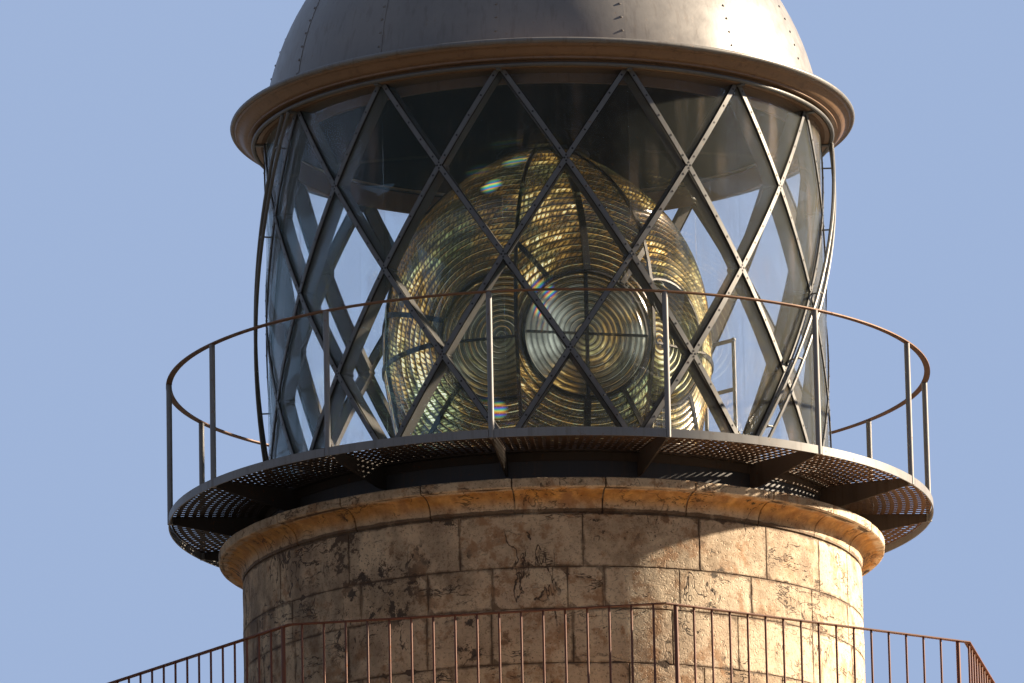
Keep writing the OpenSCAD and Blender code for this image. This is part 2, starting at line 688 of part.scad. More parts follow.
module lens_frame() {
  ring_h = 30;
  color(bronze) translate([0, 0, focal_z]) {
    translate([0, 0, -lens_down]) ring_bar(lens_foot_r - prism_t - 34, lens_foot_r + 24, ring_h);
    translate([0, 0, lens_up]) ring_bar(lens_top_r - prism_t - 34, lens_top_r + 30, ring_h);
    for (a = rib_angles) rotate([0, 0, front + lens_turn + a]) lens_rib();
    rotate([0, 0, front + lens_turn]) for (i = [0 : 5]) eye_frame(i);
  }
}
rib_angles = [-panel_half, panel_half, 90, 180 - panel_half, 180 + panel_half, 270];
panel_spans = [[-panel_half, panel_half], [panel_half, 90], [90, 180 - panel_half],
  [180 - panel_half, 180 + panel_half], [180 + panel_half, 270], [270, 360 - panel_half]];
eye_axes = [0, axis_step, 180 - axis_step, 180, 180 + axis_step, 360 - axis_step];
// Space between two neighbouring ribs, with its sides parallel to the ribs
module lens_sector(i, h0, h1) {
  far = 2 * lens_r;
  from = panel_spans[i][0];
  to = panel_spans[i][1];
  mid = (from + to) / 2;
  apex = (rib_t / 2 + fit) / sin((to - from) / 2) * [cos(mid), sin(mid)];
  translate([0, 0, h0]) linear_extrude(h1 - h0) polygon([apex, apex + far * [cos(from), sin(from)],
    apex + far * 1.3 * [cos(mid), sin(mid)], apex + far * [cos(to), sin(to)]]);
}
module eye_bore(i, r) {
  rotate([0, 0, eye_axes[i]]) rotate([0, 90, 0]) cylinder(r = r, h = 2 * lens_r, $fn = 64);
}
// Round frame between a bull's eye and the prisms about it
module eye_frame(i) {
  stand_out = 6;
  difference() {
    intersection() {
      rotate_extrude($fn = round_fn) lens_outline(-stand_out);
      eye_bore(i, eye_r + fit + eye_frame_t);
      lens_sector(i, -lens_r, lens_r);
    }
    eye_bore(i, eye_r + fit);
  }
}
module lens_prisms() {
  color(lens_glass) translate([0, 0, focal_z]) rotate([0, 0, front + lens_turn]) for (i = [0 : 5])
    intersection() {
      difference() {
        rotate_extrude($fn = round_fn) lens_outline(0);
        eye_bore(i, eye_r + 2 * fit + eye_frame_t);
      }
      lens_sector(i, -lens_down + 30 + fit, lens_up - fit);
    }
}
module bulls_eye_profile() {
  depth = prism_t * 0.8;
  pitch = eye_r / (eye_rings + 1);
  back = lens_r * 0.9;
  polygon(concat([[0, back - 8], [0, back + depth]],
    [for (i = [1 : eye_rings]) each [[i * pitch, back + depth * 0.45], [i * pitch + 1, back + depth]]],
    [[eye_r, back + depth * 0.4], [eye_r, back - 8]]));
}
module bulls_eyes() {
  color(lens_glass) translate([0, 0, focal_z]) rotate([0, 0, front + lens_turn]) for (i = [0 : 5])
    intersection() {
      rotate([0, 0, eye_axes[i]]) rotate([0, 90, 0]) rotate_extrude($fn = 96) bulls_eye_profile();
      lens_sector(i, -lens_r, lens_r);
    }
}

tower_walls();
tower_corner_walls();
plinth_course();
ground_floor();
entrance_frame();
entrance_door();
window_frames();
window_panes();
terrace();
railing_posts();
railing_panels();
drum_wall();
terrace_door_frame();
terrace_door();
stone_cornice();
murette();
gallery_ledger();
gallery_brackets();
gallery_floor();
gallery_fascia();
gallery_posts();
gallery_handrail();
service_floor();
inner_handrail();
lantern_kerb();
glazing_bars();
glass_panes();
cover_strips();
lantern_head();
ring_rail();
ring_rail_brackets();
climbing_rails();
climbing_rungs();
eave();
dome();
dome_straps();
ventilator();
lightning_rod();
lens_pedestal();
lens_table();
lens_frame();
lens_prisms();
bulls_eyes();
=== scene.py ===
"""Looks of a stone lighthouse with a steel gallery, a domed lantern and a turning prism lens."""

import math
import random

import bmesh
import bpy
from mathutils import Matrix, Vector, noise


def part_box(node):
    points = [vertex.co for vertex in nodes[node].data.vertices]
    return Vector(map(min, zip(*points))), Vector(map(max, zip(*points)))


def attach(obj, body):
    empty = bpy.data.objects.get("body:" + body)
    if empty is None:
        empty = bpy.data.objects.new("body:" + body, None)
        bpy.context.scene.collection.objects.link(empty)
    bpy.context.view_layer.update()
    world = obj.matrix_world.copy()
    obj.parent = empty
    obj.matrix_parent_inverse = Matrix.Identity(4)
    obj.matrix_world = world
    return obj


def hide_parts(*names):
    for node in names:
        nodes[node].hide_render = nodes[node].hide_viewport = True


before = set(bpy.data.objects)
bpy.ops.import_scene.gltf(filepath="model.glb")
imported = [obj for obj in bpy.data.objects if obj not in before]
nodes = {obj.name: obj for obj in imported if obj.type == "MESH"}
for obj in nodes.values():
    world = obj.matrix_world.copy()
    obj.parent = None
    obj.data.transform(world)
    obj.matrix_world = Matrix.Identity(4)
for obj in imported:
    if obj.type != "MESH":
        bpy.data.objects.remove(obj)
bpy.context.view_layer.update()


def heights(node):
    """Lowest and highest point of a CAD node."""
    return [corner.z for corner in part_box(node)]


def outer_r(node):
    """How far a CAD node reaches from the tower's axis."""
    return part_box(node)[1].x


# Sizes read from the frame, in metres
gallery_z = heights("gallery_floor")[1]
gallery_r = outer_r("gallery_fascia")
murette_r = outer_r("murette")
drum_r = outer_r("drum_wall")
drum_low, drum_high = heights("drum_wall")
cornice_r = outer_r("stone_cornice")
cornice_low, cornice_high = heights("stone_cornice")
glass_r = outer_r("glass_panes")
glass_low, glass_high = heights("glass_panes")
strip_r = outer_r("cover_strips")
head_low, head_high = heights("lantern_head")
lens_low, lens_high = heights("lens_prisms")
eave_high = heights("eave")[1]
dome_r = outer_r("dome")
dome_low, dome_high = heights("dome")

# Angles are in degrees from the front, turning towards the viewer's right
bays = 14
bay = 360 / bays
first_bay = -8.3
# The octagon's sides are counted anticlockwise from above, and its turn is from +X
octagon_turn = 13
front_side, back_side = 5, 1


def put_in_scene(name, data):
    thing = bpy.data.objects.new(name, data)
    bpy.context.scene.collection.objects.link(thing)
    return thing


def polar(radius, azimuth, z=0.0):
    """Point at an angle from the front and a distance from the tower's axis."""
    a = math.radians(azimuth)
    return Vector((radius * math.sin(a), -radius * math.cos(a), z))


def add_camera():
    """Camera of the photograph: far off, low and with a long lens."""
    away, below_gallery = 48.16, 10.84
    focal_length, width, sensor = 7820, 1024, 36
    tilt, swing, roll = math.radians(13.962), math.radians(0.265), math.radians(-1.18)
    turn = (Matrix.Rotation(swing, 4, "Z") @ Matrix.Rotation(math.pi / 2 + tilt, 4, "X")
            @ Matrix.Rotation(roll, 4, "Z"))
    lens = bpy.data.cameras.new("photo_camera")
    lens.sensor_width = sensor
    lens.lens = focal_length / width * sensor
    lens.clip_end = 400
    camera = put_in_scene("photo_camera", lens)
    camera.matrix_world = Matrix.Translation((0, -away, gallery_z - below_gallery)) @ turn
    bpy.context.scene.camera = camera


add_camera()


# Materials
class Tree:
    """Adds nodes to a material or group and joins them as it goes."""

    def __init__(self, tree):
        self.tree = tree

    def add(self, kind, inputs=None, **settings):
        node = self.tree.nodes.new("ShaderNode" + kind)
        for name, value in settings.items():
            setattr(node, name, value)
        for name, value in (inputs or {}).items():
            self.feed(node.inputs[name], value)
        return node

    def feed_all(self, sockets, **values):
        """Feeds sockets whose names are the keywords with spaces for their underscores."""
        for name, value in values.items():
            self.feed(sockets[name.replace("_", " ")], value)

    def feed(self, socket, value):
        if isinstance(value, bpy.types.NodeSocket):
            self.tree.links.new(value, socket)
        else:
            socket.default_value = value

    def math(self, operation, a, b=0.0, c=0.0, clamp=False):
        return self.add("Math", {0: a, 1: b, 2: c}, operation=operation, use_clamp=clamp).outputs[0]

    def times(self, a, b, clamp=False):
        return self.math("MULTIPLY", a, b, clamp=clamp)

    def times_plus(self, a, b, c):
        return self.math("MULTIPLY_ADD", a, b, c)

    def scaled(self, vector, factor):
        return self.add("VectorMath", {0: vector, "Scale": factor}, operation="SCALE").outputs[0]

    def axis(self, vector, name):
        return self.add("SeparateXYZ", {0: vector}).outputs[name]

    def own(self, name, output="Fac"):
        """What the piece itself keeps at each point under that name."""
        return self.add("Attribute", attribute_name=name).outputs[output]

    def span(self, value, low, high, to_low=0.0, to_high=1.0):
        """The value's share between low and high, eased and clamped."""
        return self.add("MapRange", {"Value": value, "From Min": low, "From Max": high, "To Min": to_low,
                                     "To Max": to_high}, interpolation_type="SMOOTHSTEP").outputs[0]

    def noise(self, vector, scale, detail=3.0, roughness=0.55, distortion=0.0):
        return self.add("TexNoise", {"Vector": vector, "Scale": scale, "Detail": detail,
                                     "Roughness": roughness, "Distortion": distortion}).outputs["Fac"]

    def mix(self, share, a, b):
        node = self.add("Mix", data_type="RGBA")
        for name, value in (("Factor", share), ("A", a), ("B", b)):
            socket = next(s for s in node.inputs if s.name == name and s.enabled)
            self.feed(socket, value)
        return next(s for s in node.outputs if s.enabled)

    def ramp(self, value, *stops):
        node = self.add("ValToRGB", {"Fac": value})
        points = node.color_ramp.elements
        while len(points) < len(stops):
            points.new(0.5)
        for point, (place, colour) in zip(points, stops):
            point.position = place
            point.color = (*colour, 1)
        return node.outputs["Color"]

    def stretched(self, vector, scale):
        return self.add("Mapping", {"Vector": vector, "Scale": scale}).outputs[0]


def node_group(name, inputs, outputs=("Colour", "Roughness", "Height")):
    """Empty shader node group, with its tree, input sockets and output sockets.

    An input's default is a number, a vector of three or a colour of four values.
    """
    tree = bpy.data.node_groups.new(name, "ShaderNodeTree")
    kinds = {0: "NodeSocketFloat", 3: "NodeSocketVector", 4: "NodeSocketColor"}
    for label, default in inputs.items():
        kind = kinds[len(default) if isinstance(default, tuple) else 0]
        tree.interface.new_socket(label, in_out="INPUT", socket_type=kind).default_value = default
    for label in outputs:
        kind = kinds[4 if label == "Colour" else 0]
        tree.interface.new_socket(label, in_out="OUTPUT", socket_type=kind)
    given = tree.nodes.new("NodeGroupInput").outputs
    out = tree.nodes.new("NodeGroupOutput").inputs
    return Tree(tree), given, out


def weathered_paint_group():
    """Paint with uneven tone, rain streaks, dust and rust specks."""
    t, given, out = node_group("weathered_paint", {
        "Vector": (0, 0, 0), "Paint": (0.4, 0.4, 0.4, 1), "Dirt": (0.1, 0.07, 0.05, 1),
        "Rust": (0.2, 0.08, 0.03, 1), "Streaks": 0.3, "Rust share": 0.1, "Grain": 140.0})
    place = given["Vector"]
    cloud = t.noise(place, 1.7, 3)
    patch = t.noise(place, 9.0, 4, 0.6)
    tone = t.times_plus(cloud, 0.5, t.times_plus(patch, 0.35, 0.58))
    colour = t.scaled(given["Paint"], tone)
    runs = t.noise(t.stretched(place, (26, 26, 1.1)), 1.0, 3, 0.62)
    streak = t.times(t.span(runs, 0.5, 0.72), given["Streaks"])
    colour = t.mix(streak, colour, given["Dirt"])
    specks = t.noise(place, 36.0, 4, 0.72)
    where = t.times(t.span(specks, 0.60, 0.68), t.span(patch, 0.42, 0.62))
    rust = t.times(where, given["Rust share"], clamp=True)
    colour = t.mix(rust, colour, given["Rust"])
    height = t.times_plus(t.noise(place, given["Grain"], 2), 0.5, patch)
    t.feed_all(out, Colour=colour, Roughness=t.times_plus(patch, 0.30, t.times(rust, 0.4)),
               Height=t.times_plus(rust, -1.2, height))
    return t.tree


def dressed_stone_group():
    """Limestone with clouds of tone, pits, dark crusts, layered cracks, grimy joints and an iron stain."""
    t, given, out = node_group("dressed_stone", {
        "Vector": (0, 0, 0), "Tone": 0.5, "Stain": 0.0, "Soot": 0.0, "Spots": 0.6, "Cracks": 0.5, "Edge": 0.0,
        "Crust": 0.0})
    place = given["Vector"]
    cloud = t.noise(place, 2.3, 4, 0.6, 0.4)
    patch = t.noise(place, 13.0, 4, 0.65)
    grain = t.noise(place, 110.0, 2, 0.7)
    mixed = t.times_plus(given["Tone"], 0.24, t.times_plus(cloud, 0.60, 0.005))
    mixed = t.times_plus(patch, 0.40, mixed)
    colour = t.ramp(mixed, (0.36, (0.22, 0.145, 0.088)), (0.49, (0.45, 0.34, 0.23)),
                    (0.62, (0.74, 0.60, 0.435)), (0.82, (0.88, 0.75, 0.56)))
    flushed = t.span(t.noise(place, 1.4, 2), 0.45, 0.6, 0.0, 0.4)
    blush = t.times(t.span(given["Tone"], 0.5, 0.9), flushed)
    speck = t.span(t.noise(place, 48.0, 3, 0.75), 0.46, 0.36, 0.0, 0.55)
    iron = t.times(given["Stain"], t.span(t.noise(place, 4.4, 3, 0.6), 0.30, 0.62, 0.82, 1.0))
    ochre = t.ramp(patch, (0.3, (0.42, 0.17, 0.035)), (0.7, (0.80, 0.43, 0.115)))
    rusty = t.span(t.noise(place, 7.5, 4, 0.7), 0.48, 0.63)
    rusty = t.times(rusty, t.span(cloud, 0.40, 0.56, 0.15, 0.7))
    swirl = t.add("TexNoise", {"Vector": place, "Scale": 7.0, "Detail": 3.0}).outputs["Color"]
    bent = t.add("VectorMath", {0: place, 1: t.scaled(swirl, 0.10)}, operation="ADD").outputs[0]
    layer = t.noise(t.stretched(bent, (1.5, 1.5, 6.5)), 1.0, 5, 0.64)
    fault = t.noise(t.stretched(bent, (4.2, 4.2, 1.3)), 1.0, 4, 0.6)
    off_layer = t.math("ABSOLUTE", t.math("SUBTRACT", layer, 0.5))
    off_fault = t.math("ABSOLUTE", t.math("SUBTRACT", fault, 0.52))
    line = t.times(t.span(off_layer, 0.013, 0.003), t.span(t.noise(place, 2.9, 3), 0.47, 0.57))
    split = t.times(t.span(off_fault, 0.010, 0.003), t.span(t.noise(place, 2.2, 3), 0.50, 0.58))
    crack = t.times(t.math("MAXIMUM", line, split), given["Cracks"], clamp=True)
    spot = t.add("TexVoronoi", {"Vector": place, "Scale": 46.0}).outputs["Distance"]
    grown = t.math("MAXIMUM", t.span(t.noise(place, 2.1, 4, 0.62), 0.50, 0.66), given["Crust"])
    lichen = t.times(t.span(t.times_plus(grain, 0.5, spot), 0.52, 0.36), grown)
    crust = t.times_plus(given["Soot"], 0.05, t.noise(place, 7.5, 5, 0.76))
    crust = t.times_plus(given["Crust"], 0.075, crust)
    crusty = t.math("MAXIMUM", t.span(cloud, 0.54, 0.42), given["Crust"])
    crust = t.times(t.span(crust, 0.605, 0.645), crusty)
    dark = t.times(t.math("MAXIMUM", lichen, crust), given["Spots"], clamp=True)
    grime = t.times_plus(t.noise(place, 9.0, 4, 0.7), 1.3, given["Edge"])
    grime = t.span(grime, 1.25, 1.75, 0.0, 0.85)
    wash = t.noise(t.stretched(place, (5, 5, 2.6)), 1.0, 3, 0.65)
    wash = t.math("MINIMUM", t.times(given["Soot"], t.span(wash, 0.35, 0.65)), 0.96)
    for share, over in ((blush, (0.50, 0.33, 0.23, 1)), (speck, (0.19, 0.12, 0.07, 1)),
                        (t.span(grain, 0.42, 0.72, 0.0, 0.34), (0.78, 0.67, 0.52, 1)), (iron, ochre),
                        (rusty, (0.38, 0.185, 0.075, 1)), (crack, (0.045, 0.028, 0.018, 1)),
                        (dark, (0.032, 0.024, 0.018, 1)), (grime, (0.11, 0.066, 0.036, 1)),
                        (wash, (0.085, 0.056, 0.036, 1))):
        colour = t.mix(share, colour, over)
    pits = t.span(t.noise(place, 60.0, 2, 0.4), 0.40, 0.28)
    height = t.times_plus(pits, -0.8, t.times_plus(grain, 0.5, patch))
    height = t.times_plus(t.times(layer, 4.0), 0.4, height)
    t.feed_all(out, Colour=colour, Roughness=t.times_plus(grain, 0.2, 0.72),
               Height=t.times_plus(crack, -1.8, height))
    return t.tree


paint_group = weathered_paint_group()
stone_group = dressed_stone_group()


def new_material(name):
    """Empty node material, with its tree, the Principled shader's sockets and Object coordinates."""
    material = bpy.data.materials.new(name)
    material.use_nodes = True
    t = Tree(material.node_tree)
    shader = material.node_tree.nodes["Principled BSDF"].inputs
    place = t.add("TexCoord").outputs["Object"]
    return material, t, shader, place


def bump(t, height, strength, distance):
    return t.add("Bump", {"Strength": strength, "Distance": distance, "Height": height}).outputs["Normal"]


def painted(name, paint, gloss, metallic=0.0, streaks=0.3, rust_share=0.1, dirt=(0.10, 0.07, 0.05),
            rust=(0.20, 0.08, 0.03), grain=140.0, relief=0.0006, shine=0.5):
    """Painted metal, where gloss is its least roughness and paint a colour or a function that mixes one."""
    material, t, shader, place = new_material(name)
    group_least = 0.12
    colour = paint(t, place) if callable(paint) else (*paint, 1)
    look = t.add("Group", {"Vector": place, "Paint": colour, "Dirt": (*dirt, 1), "Rust": (*rust, 1),
                           "Streaks": streaks, "Rust share": rust_share, "Grain": grain},
                 node_tree=paint_group).outputs
    t.feed_all(shader, Base_Color=look["Colour"], Metallic=metallic, Specular_IOR_Level=shine,
               Roughness=t.math("ADD", look["Roughness"], gloss - group_least),
               Normal=bump(t, look["Height"], 0.5, relief))
    return material


def eave_paint_and_reflection(t, place):
    """Brown under the eave, a painted reflection of the warm ground on its grey paint, and grey on its lip.
    """
    worn = t.times_plus(t.noise(place, 14.0, 3), 0.012, t.axis(place, "Z"))
    lip = t.span(worn, eave_high - 0.030, eave_high - 0.024)
    return t.mix(lip, (0.28, 0.17, 0.095, 1), (0.23, 0.225, 0.215, 1))


def under_paint(name, left, right):
    """Old paint under the gallery, dark on the left and lighter and warmer towards the right, where painted
    light stands in for the sun that reaches it.
    """
    def painted_sun_side(t, place):
        return t.mix(t.span(t.axis(place, "X"), -1.2, 1.9), (*left, 1), (*right, 1))
    return painted(name, painted_sun_side, 0.60, streaks=0.4, rust_share=0.8, dirt=(0.04, 0.028, 0.02),
                   rust=(0.15, 0.06, 0.025), shine=0.2)


def soft_spots(t, place, base, spots):
    """Soft round spots on an even base, each given as (x, y, z, reach, strength)."""
    total = base
    for x, y, z, reach, strength in spots:
        away = t.add("VectorMath", {0: place, 1: (x, y, z)}, operation="DISTANCE").outputs["Value"]
        total = t.math("ADD", total, t.span(away, reach, reach * 0.3, 0.0, strength))
    return total


def stone(name, stain=None, soot=0.0, spots=0.6, cracks=0.5, relief=0.004, tone=None, left_darkening=0.0, crusts=()):
    """Dressed stone, darker towards its left. Its tone is each block's own, or one value.

    A stain is a band of iron between two heights, and crusts are dark patches in given places.
    """
    material, t, shader, place = new_material(name)
    values = {"Vector": place, "Tone": t.own("tone") if tone is None else tone, "Soot": soot, "Spots": spots,
              "Cracks": cracks, "Edge": t.own("edge")}
    if crusts:
        values["Crust"] = t.math("MINIMUM", soft_spots(t, place, 0.0, crusts), 1.0)
    if left_darkening:
        values["Soot"] = t.span(t.axis(place, "X"), 0.2, -1.7, soot, soot + left_darkening)
    if stain:
        low, high = stain
        z = t.times_plus(t.noise(place, 11.0, 4), 0.016, t.axis(place, "Z"))
        values["Stain"] = t.times(t.span(z, low + 0.01, high - 0.02), t.span(z, high + 0.012, high + 0.004))
        values["Edge"] = t.span(z, low + 0.030, low + 0.012, 0.0, 1.1)
    look = t.add("Group", values, node_tree=stone_group).outputs
    t.feed_all(shader, Base_Color=look["Colour"], Roughness=look["Roughness"],
               Normal=bump(t, look["Height"], 0.7, relief))
    return material


def clear_glass(name, tint, haze, dust, sheen=0.0, painted_sun_tint=None):
    """Thin glass with salt and dust in runs, more painted sheen where seen aslant, and a tint on its right
    that is painted sunlight.
    """
    material, t, shader, place = new_material(name)
    runs = t.noise(t.stretched(place, (9, 9, 0.7)), 1.0, 4, 0.66)
    film = t.noise(place, 2.6, 2)
    share = t.times(t.span(runs, 0.42, 0.75), t.span(film, 0.35, 0.7))
    # Painted sheen that grows where the glass is seen aslant.
    slant = t.math("POWER", t.add("LayerWeight", {"Blend": 0.5}).outputs["Facing"], 4.0)
    haze_and_sheen = t.times_plus(slant, sheen, haze)
    tone = (*tint, 1)
    # Warmer tint towards the right: painted sunlight.
    if painted_sun_tint:
        tone = t.mix(t.span(t.axis(place, "X"), -0.9, 1.1), tone, (*painted_sun_tint, 1))
    t.feed_all(shader, Base_Color=t.mix(t.span(share, 0.0, 0.5), tone, (0.84, 0.74, 0.60, 1)),
               Alpha=t.times_plus(share, dust, haze_and_sheen), Roughness=0.02, IOR=1.45, Transmission_Weight=0.68)
    return material


def cut_glass_group():
    """Painted light and shade on cut glass ring by ring: a dark riser in painted shade, slanted painted
    glints in amber and green, and a thin painted highlight on the edge.
    """
    t, given, out = node_group("cut_glass", {
        "Around": (1, 0, 0), "Vector": (0, 0, 0), "Painted light": 0.5, "Glints": 50.0, "Slant": 1.5,
        "Edge": (0.5, 0.5, 0.3, 1), "Edge share": 0.5, "Teeth": 0.8, "Green": 0.0, "Pale": 0.0,
        "Pale colour": (0.6, 0.6, 0.4, 1)}, ["Colour"])
    parts = t.add("SeparateXYZ", {0: given["Around"]}).outputs
    share = t.math("FRACT", parts["Z"])
    ring = t.math("FLOOR", parts["Z"])
    angle = t.math("ARCTAN2", parts["Y"], parts["X"])
    radius = t.times_plus(ring, 0.043, 0.41)
    place = given["Vector"]
    drift = t.noise(place, 3.0, 2)
    run = t.times(t.times(angle, radius), given["Glints"])
    run = t.math("ADD", run, t.times_plus(drift, 4.0, t.times(share, given["Slant"])))
    fine = t.add("CombineXYZ", {"X": run, "Y": t.times(share, 1.9), "Z": t.times(ring, 5.3)}).outputs[0]
    fine = t.noise(fine, 1.0, 2, 0.6)
    # Slanted glints along each ring are painted highlights.
    saw = t.math("FRACT", t.times_plus(ring, 0.618, t.times(run, 0.8)))
    tooth = t.times(t.span(saw, 0.0, 0.16), t.span(saw, 1.0, 0.55))
    tooth = t.times_plus(t.math("SUBTRACT", tooth, 1.0), given["Teeth"], 1.0)
    stroke = t.times(tooth, t.span(fine, 0.34, 0.58, 0.22, 1.15))
    broad = t.add("CombineXYZ", {"X": t.times(run, 0.14), "Y": t.times(ring, 1.3), "Z": share}).outputs[0]
    broad = t.noise(broad, 1.0, 2)
    long_run = t.span(broad, 0.36, 0.62, 0.30, 1.35)
    # Across each ring: painted shade on the riser, a band of painted light, and a dark gap.
    across = t.ramp(share, (0.0, (0.02, 0.02, 0.02)), (0.22, (0.04, 0.04, 0.04)), (0.33, (0.75, 0.75, 0.75)),
                    (0.60, (1.0, 1.0, 1.0)), (0.80, (0.6, 0.6, 0.6)), (0.89, (0.03, 0.03, 0.03)))
    plain = t.times(t.math("SUBTRACT", 0.80, given["Teeth"]), 0.4)
    across = t.math("MAXIMUM", across, t.times(plain, t.span(share, 0.02, 0.12)))
    # How bright the painted light is at each point.
    painted_brightness = t.times(across, t.times_plus(stroke, 0.95, 0.07))
    painted_brightness = t.times(t.times(painted_brightness, long_run), given["Painted light"], clamp=True)
    gold = t.ramp(painted_brightness, (0.0, (0.010, 0.009, 0.006)), (0.22, (0.115, 0.062, 0.014)),
                  (0.50, (0.46, 0.28, 0.065)), (0.72, (0.78, 0.58, 0.20)), (0.95, (1.0, 0.90, 0.55)))
    green = t.ramp(painted_brightness, (0.0, (0.009, 0.010, 0.007)), (0.22, (0.060, 0.068, 0.028)),
                   (0.50, (0.26, 0.31, 0.13)), (0.75, (0.52, 0.62, 0.34)), (0.95, (0.90, 0.97, 0.75)))
    hue = t.span(t.noise(place, 2.3, 3), 0.46, 0.62, 0.0, 0.75)
    hue = t.math("ADD", hue, given["Green"], clamp=True)
    colour = t.mix(hue, gold, green)
    # Pale glass where painted light shows through it.
    soft = t.times(t.times_plus(across, 0.85, 0.12), t.times_plus(fine, 0.9, 0.45))
    soft = t.scaled(given["Pale colour"], soft)
    pale = t.span(t.noise(place, 4.6, 3), 0.38, 0.60, 0.45, 1.15)
    pale = t.times(given["Pale"], pale, clamp=True)
    colour = t.mix(pale, colour, soft)
    # A thin painted highlight near each ring's outer edge.
    rim = t.times(t.span(share, 0.82, 0.89), t.span(share, 0.99, 0.93))
    rim = t.times(rim, t.times(given["Edge share"], t.span(broad, 0.36, 0.58, 0.1, 1.0)), clamp=True)
    tinted = t.mix(t.span(fine, 0.35, 0.65), given["Edge"], (0.62, 0.36, 0.10, 1))
    colour = t.mix(rim, colour, t.mix(given["Pale"], tinted, given["Edge"]))
    # Painted shade on the riser of the ring next to the bull's eye.
    painted_shade_next_to_eye = t.times(t.span(parts["Z"], 0.75, 0.35), t.span(parts["Z"], -0.1, 0.0))
    t.feed(out["Colour"], t.mix(painted_shade_next_to_eye, colour, (0.012, 0.011, 0.008, 1)))
    return t.tree


def lens_glass(name, base, spots, green_spots, pale_spots, pale_colour, rainbows, glints, slant, edge,
               edge_share, teeth, glow):
    """Thick cut glass with painted light: it glows by emission where light comes through it, is pale in
    painted spots, and has small painted rainbows.
    """
    material, t, shader, place = new_material(name)
    around = t.own("around", "Vector")
    # Spots of painted light where light comes through the glass.
    lit = soft_spots(t, place, base, spots)
    lit = t.times(lit, t.span(t.noise(place, 3.1, 3), 0.36, 0.60, 0.55, 1.2))
    # Pale spots are painted light too.
    pale = t.math("MINIMUM", soft_spots(t, place, 0.0, pale_spots), 1.0)
    colour = t.add("Group", {"Around": around, "Vector": place, "Painted light": lit, "Glints": glints, "Slant": slant,
                             "Edge": (*edge, 1), "Edge share": edge_share, "Teeth": teeth,
                             "Green": soft_spots(t, place, 0.0, green_spots), "Pale": pale,
                             "Pale colour": (*pale_colour, 1)}, node_tree=cut_glass).outputs["Colour"]
    across = t.math("FRACT", t.axis(around, "Z"))
    # Small painted rainbows in given places.
    spectrum = t.ramp(across, (0.0, (0.25, 0.05, 0.55)), (0.22, (0.05, 0.25, 0.9)), (0.42, (0.1, 0.75, 0.35)),
                      (0.6, (0.95, 0.85, 0.15)), (0.78, (0.95, 0.35, 0.05)), (0.95, (0.7, 0.05, 0.05)))
    bow = t.math("MINIMUM", soft_spots(t, place, 0.0, rainbows), 0.9)
    colour = t.mix(bow, colour, spectrum)
    # The colour also glows as emission: painted light, though the glass is no lamp.
    t.feed_all(shader, Base_Color=colour, Emission_Color=colour, Emission_Strength=glow, Roughness=0.16,
               IOR=1.5, Transmission_Weight=0.06, Coat_Weight=0.12, Coat_Roughness=0.12)
    return material


cut_glass = cut_glass_group()
strip_grey = painted("strip_grey", (0.150, 0.153, 0.150), 0.42, 0.15, 0.35, 0.5)
post_grey = painted("post_grey", (0.24, 0.24, 0.24), 0.42, 0.15, 0.3, 0.5)
dome_grey = painted("dome_grey", (0.265, 0.257, 0.252), 0.36, 0.12, 0.25, 0.25, grain=60.0, relief=0.0010)
bar_dark = painted("bar_dark", (0.090, 0.088, 0.086), 0.6, 0.0, 0.2, 0.2, shine=0.15)
wall_dark = painted("wall_dark", (0.045, 0.046, 0.05), 0.5, 0.0, 0.3, 0.3)
lining_dark = painted("lining_dark", (0.030, 0.028, 0.026), 0.6, 0.0, 0.4, 0.2, dirt=(0.07, 0.06, 0.05),
                      shine=0.12)
# The ring's pale paint and the head's brown are painted light: lighter than the dark lining, for light that
# falls on them inside the lantern.
lit_lining_ring = painted("lit_lining_ring", (0.55, 0.42, 0.28), 0.5, 0.0, 0.3, 0.4)
lit_head_brown = painted("lit_head_brown", (0.19, 0.125, 0.085), 0.6, 0.0, 0.4, 0.5, shine=0.15)
rail_rust = painted("rail_rust", (0.23, 0.12, 0.065), 0.55, 0.1, 0.5, 1.0, rust=(0.26, 0.10, 0.035))
red_brown = painted("red_brown", (0.17, 0.055, 0.025), 0.5, 0.0, 0.4, 0.8, rust=(0.30, 0.11, 0.03))
door_paint = painted("door_paint", (0.25, 0.085, 0.05), 0.42, 0.0, 0.4, 0.3)
dark_bronze = painted("dark_bronze", (0.018, 0.016, 0.013), 0.45, 0.3, 0.2, 0.2, rust=(0.06, 0.05, 0.03))
iron_dark = painted("iron_dark", (0.020, 0.019, 0.018), 0.5, 0.2, 0.2, 0.3)
# Putty dark enough to stand for the strips' shadow lines too: painted shade.
putty_and_shadow_dark = painted("putty_and_shadow_dark", (0.016, 0.015, 0.014), 0.7, 0.0, 0.2, 0.1, shine=0.1)
eave_paint = painted("eave_paint", eave_paint_and_reflection, 0.38, 0.1, 0.35, 0.6, dirt=(0.09, 0.05, 0.03),
                     rust=(0.24, 0.10, 0.03), relief=0.0008)
floor_paint = under_paint("floor_paint", (0.045, 0.032, 0.025), (0.15, 0.088, 0.055))
bracket_paint = under_paint("bracket_paint", (0.040, 0.034, 0.030), (0.13, 0.098, 0.075))
wall_stone = stone("wall_stone", soot=0.12)
drum_stone = stone("drum_stone", soot=0.15, spots=0.9, cracks=0.9, relief=0.006, left_darkening=0.45,
                   crusts=[(-0.99, -1.66, 11.56, 0.34, 1.0), (-1.26, -1.46, 11.85, 0.38, 0.9),
                           (-0.61, -1.83, 11.97, 0.20, 0.7), (0.66, -1.82, 11.96, 0.26, 0.5),
                           (-0.13, -1.93, 11.62, 0.14, 0.7), (-0.35, -1.90, 11.24, 0.36, 0.5),
                           (1.35, -1.35, 11.40, 0.25, 0.4)])
mortar = stone("mortar", soot=1.8, spots=0.3, cracks=0.0, tone=0.0)
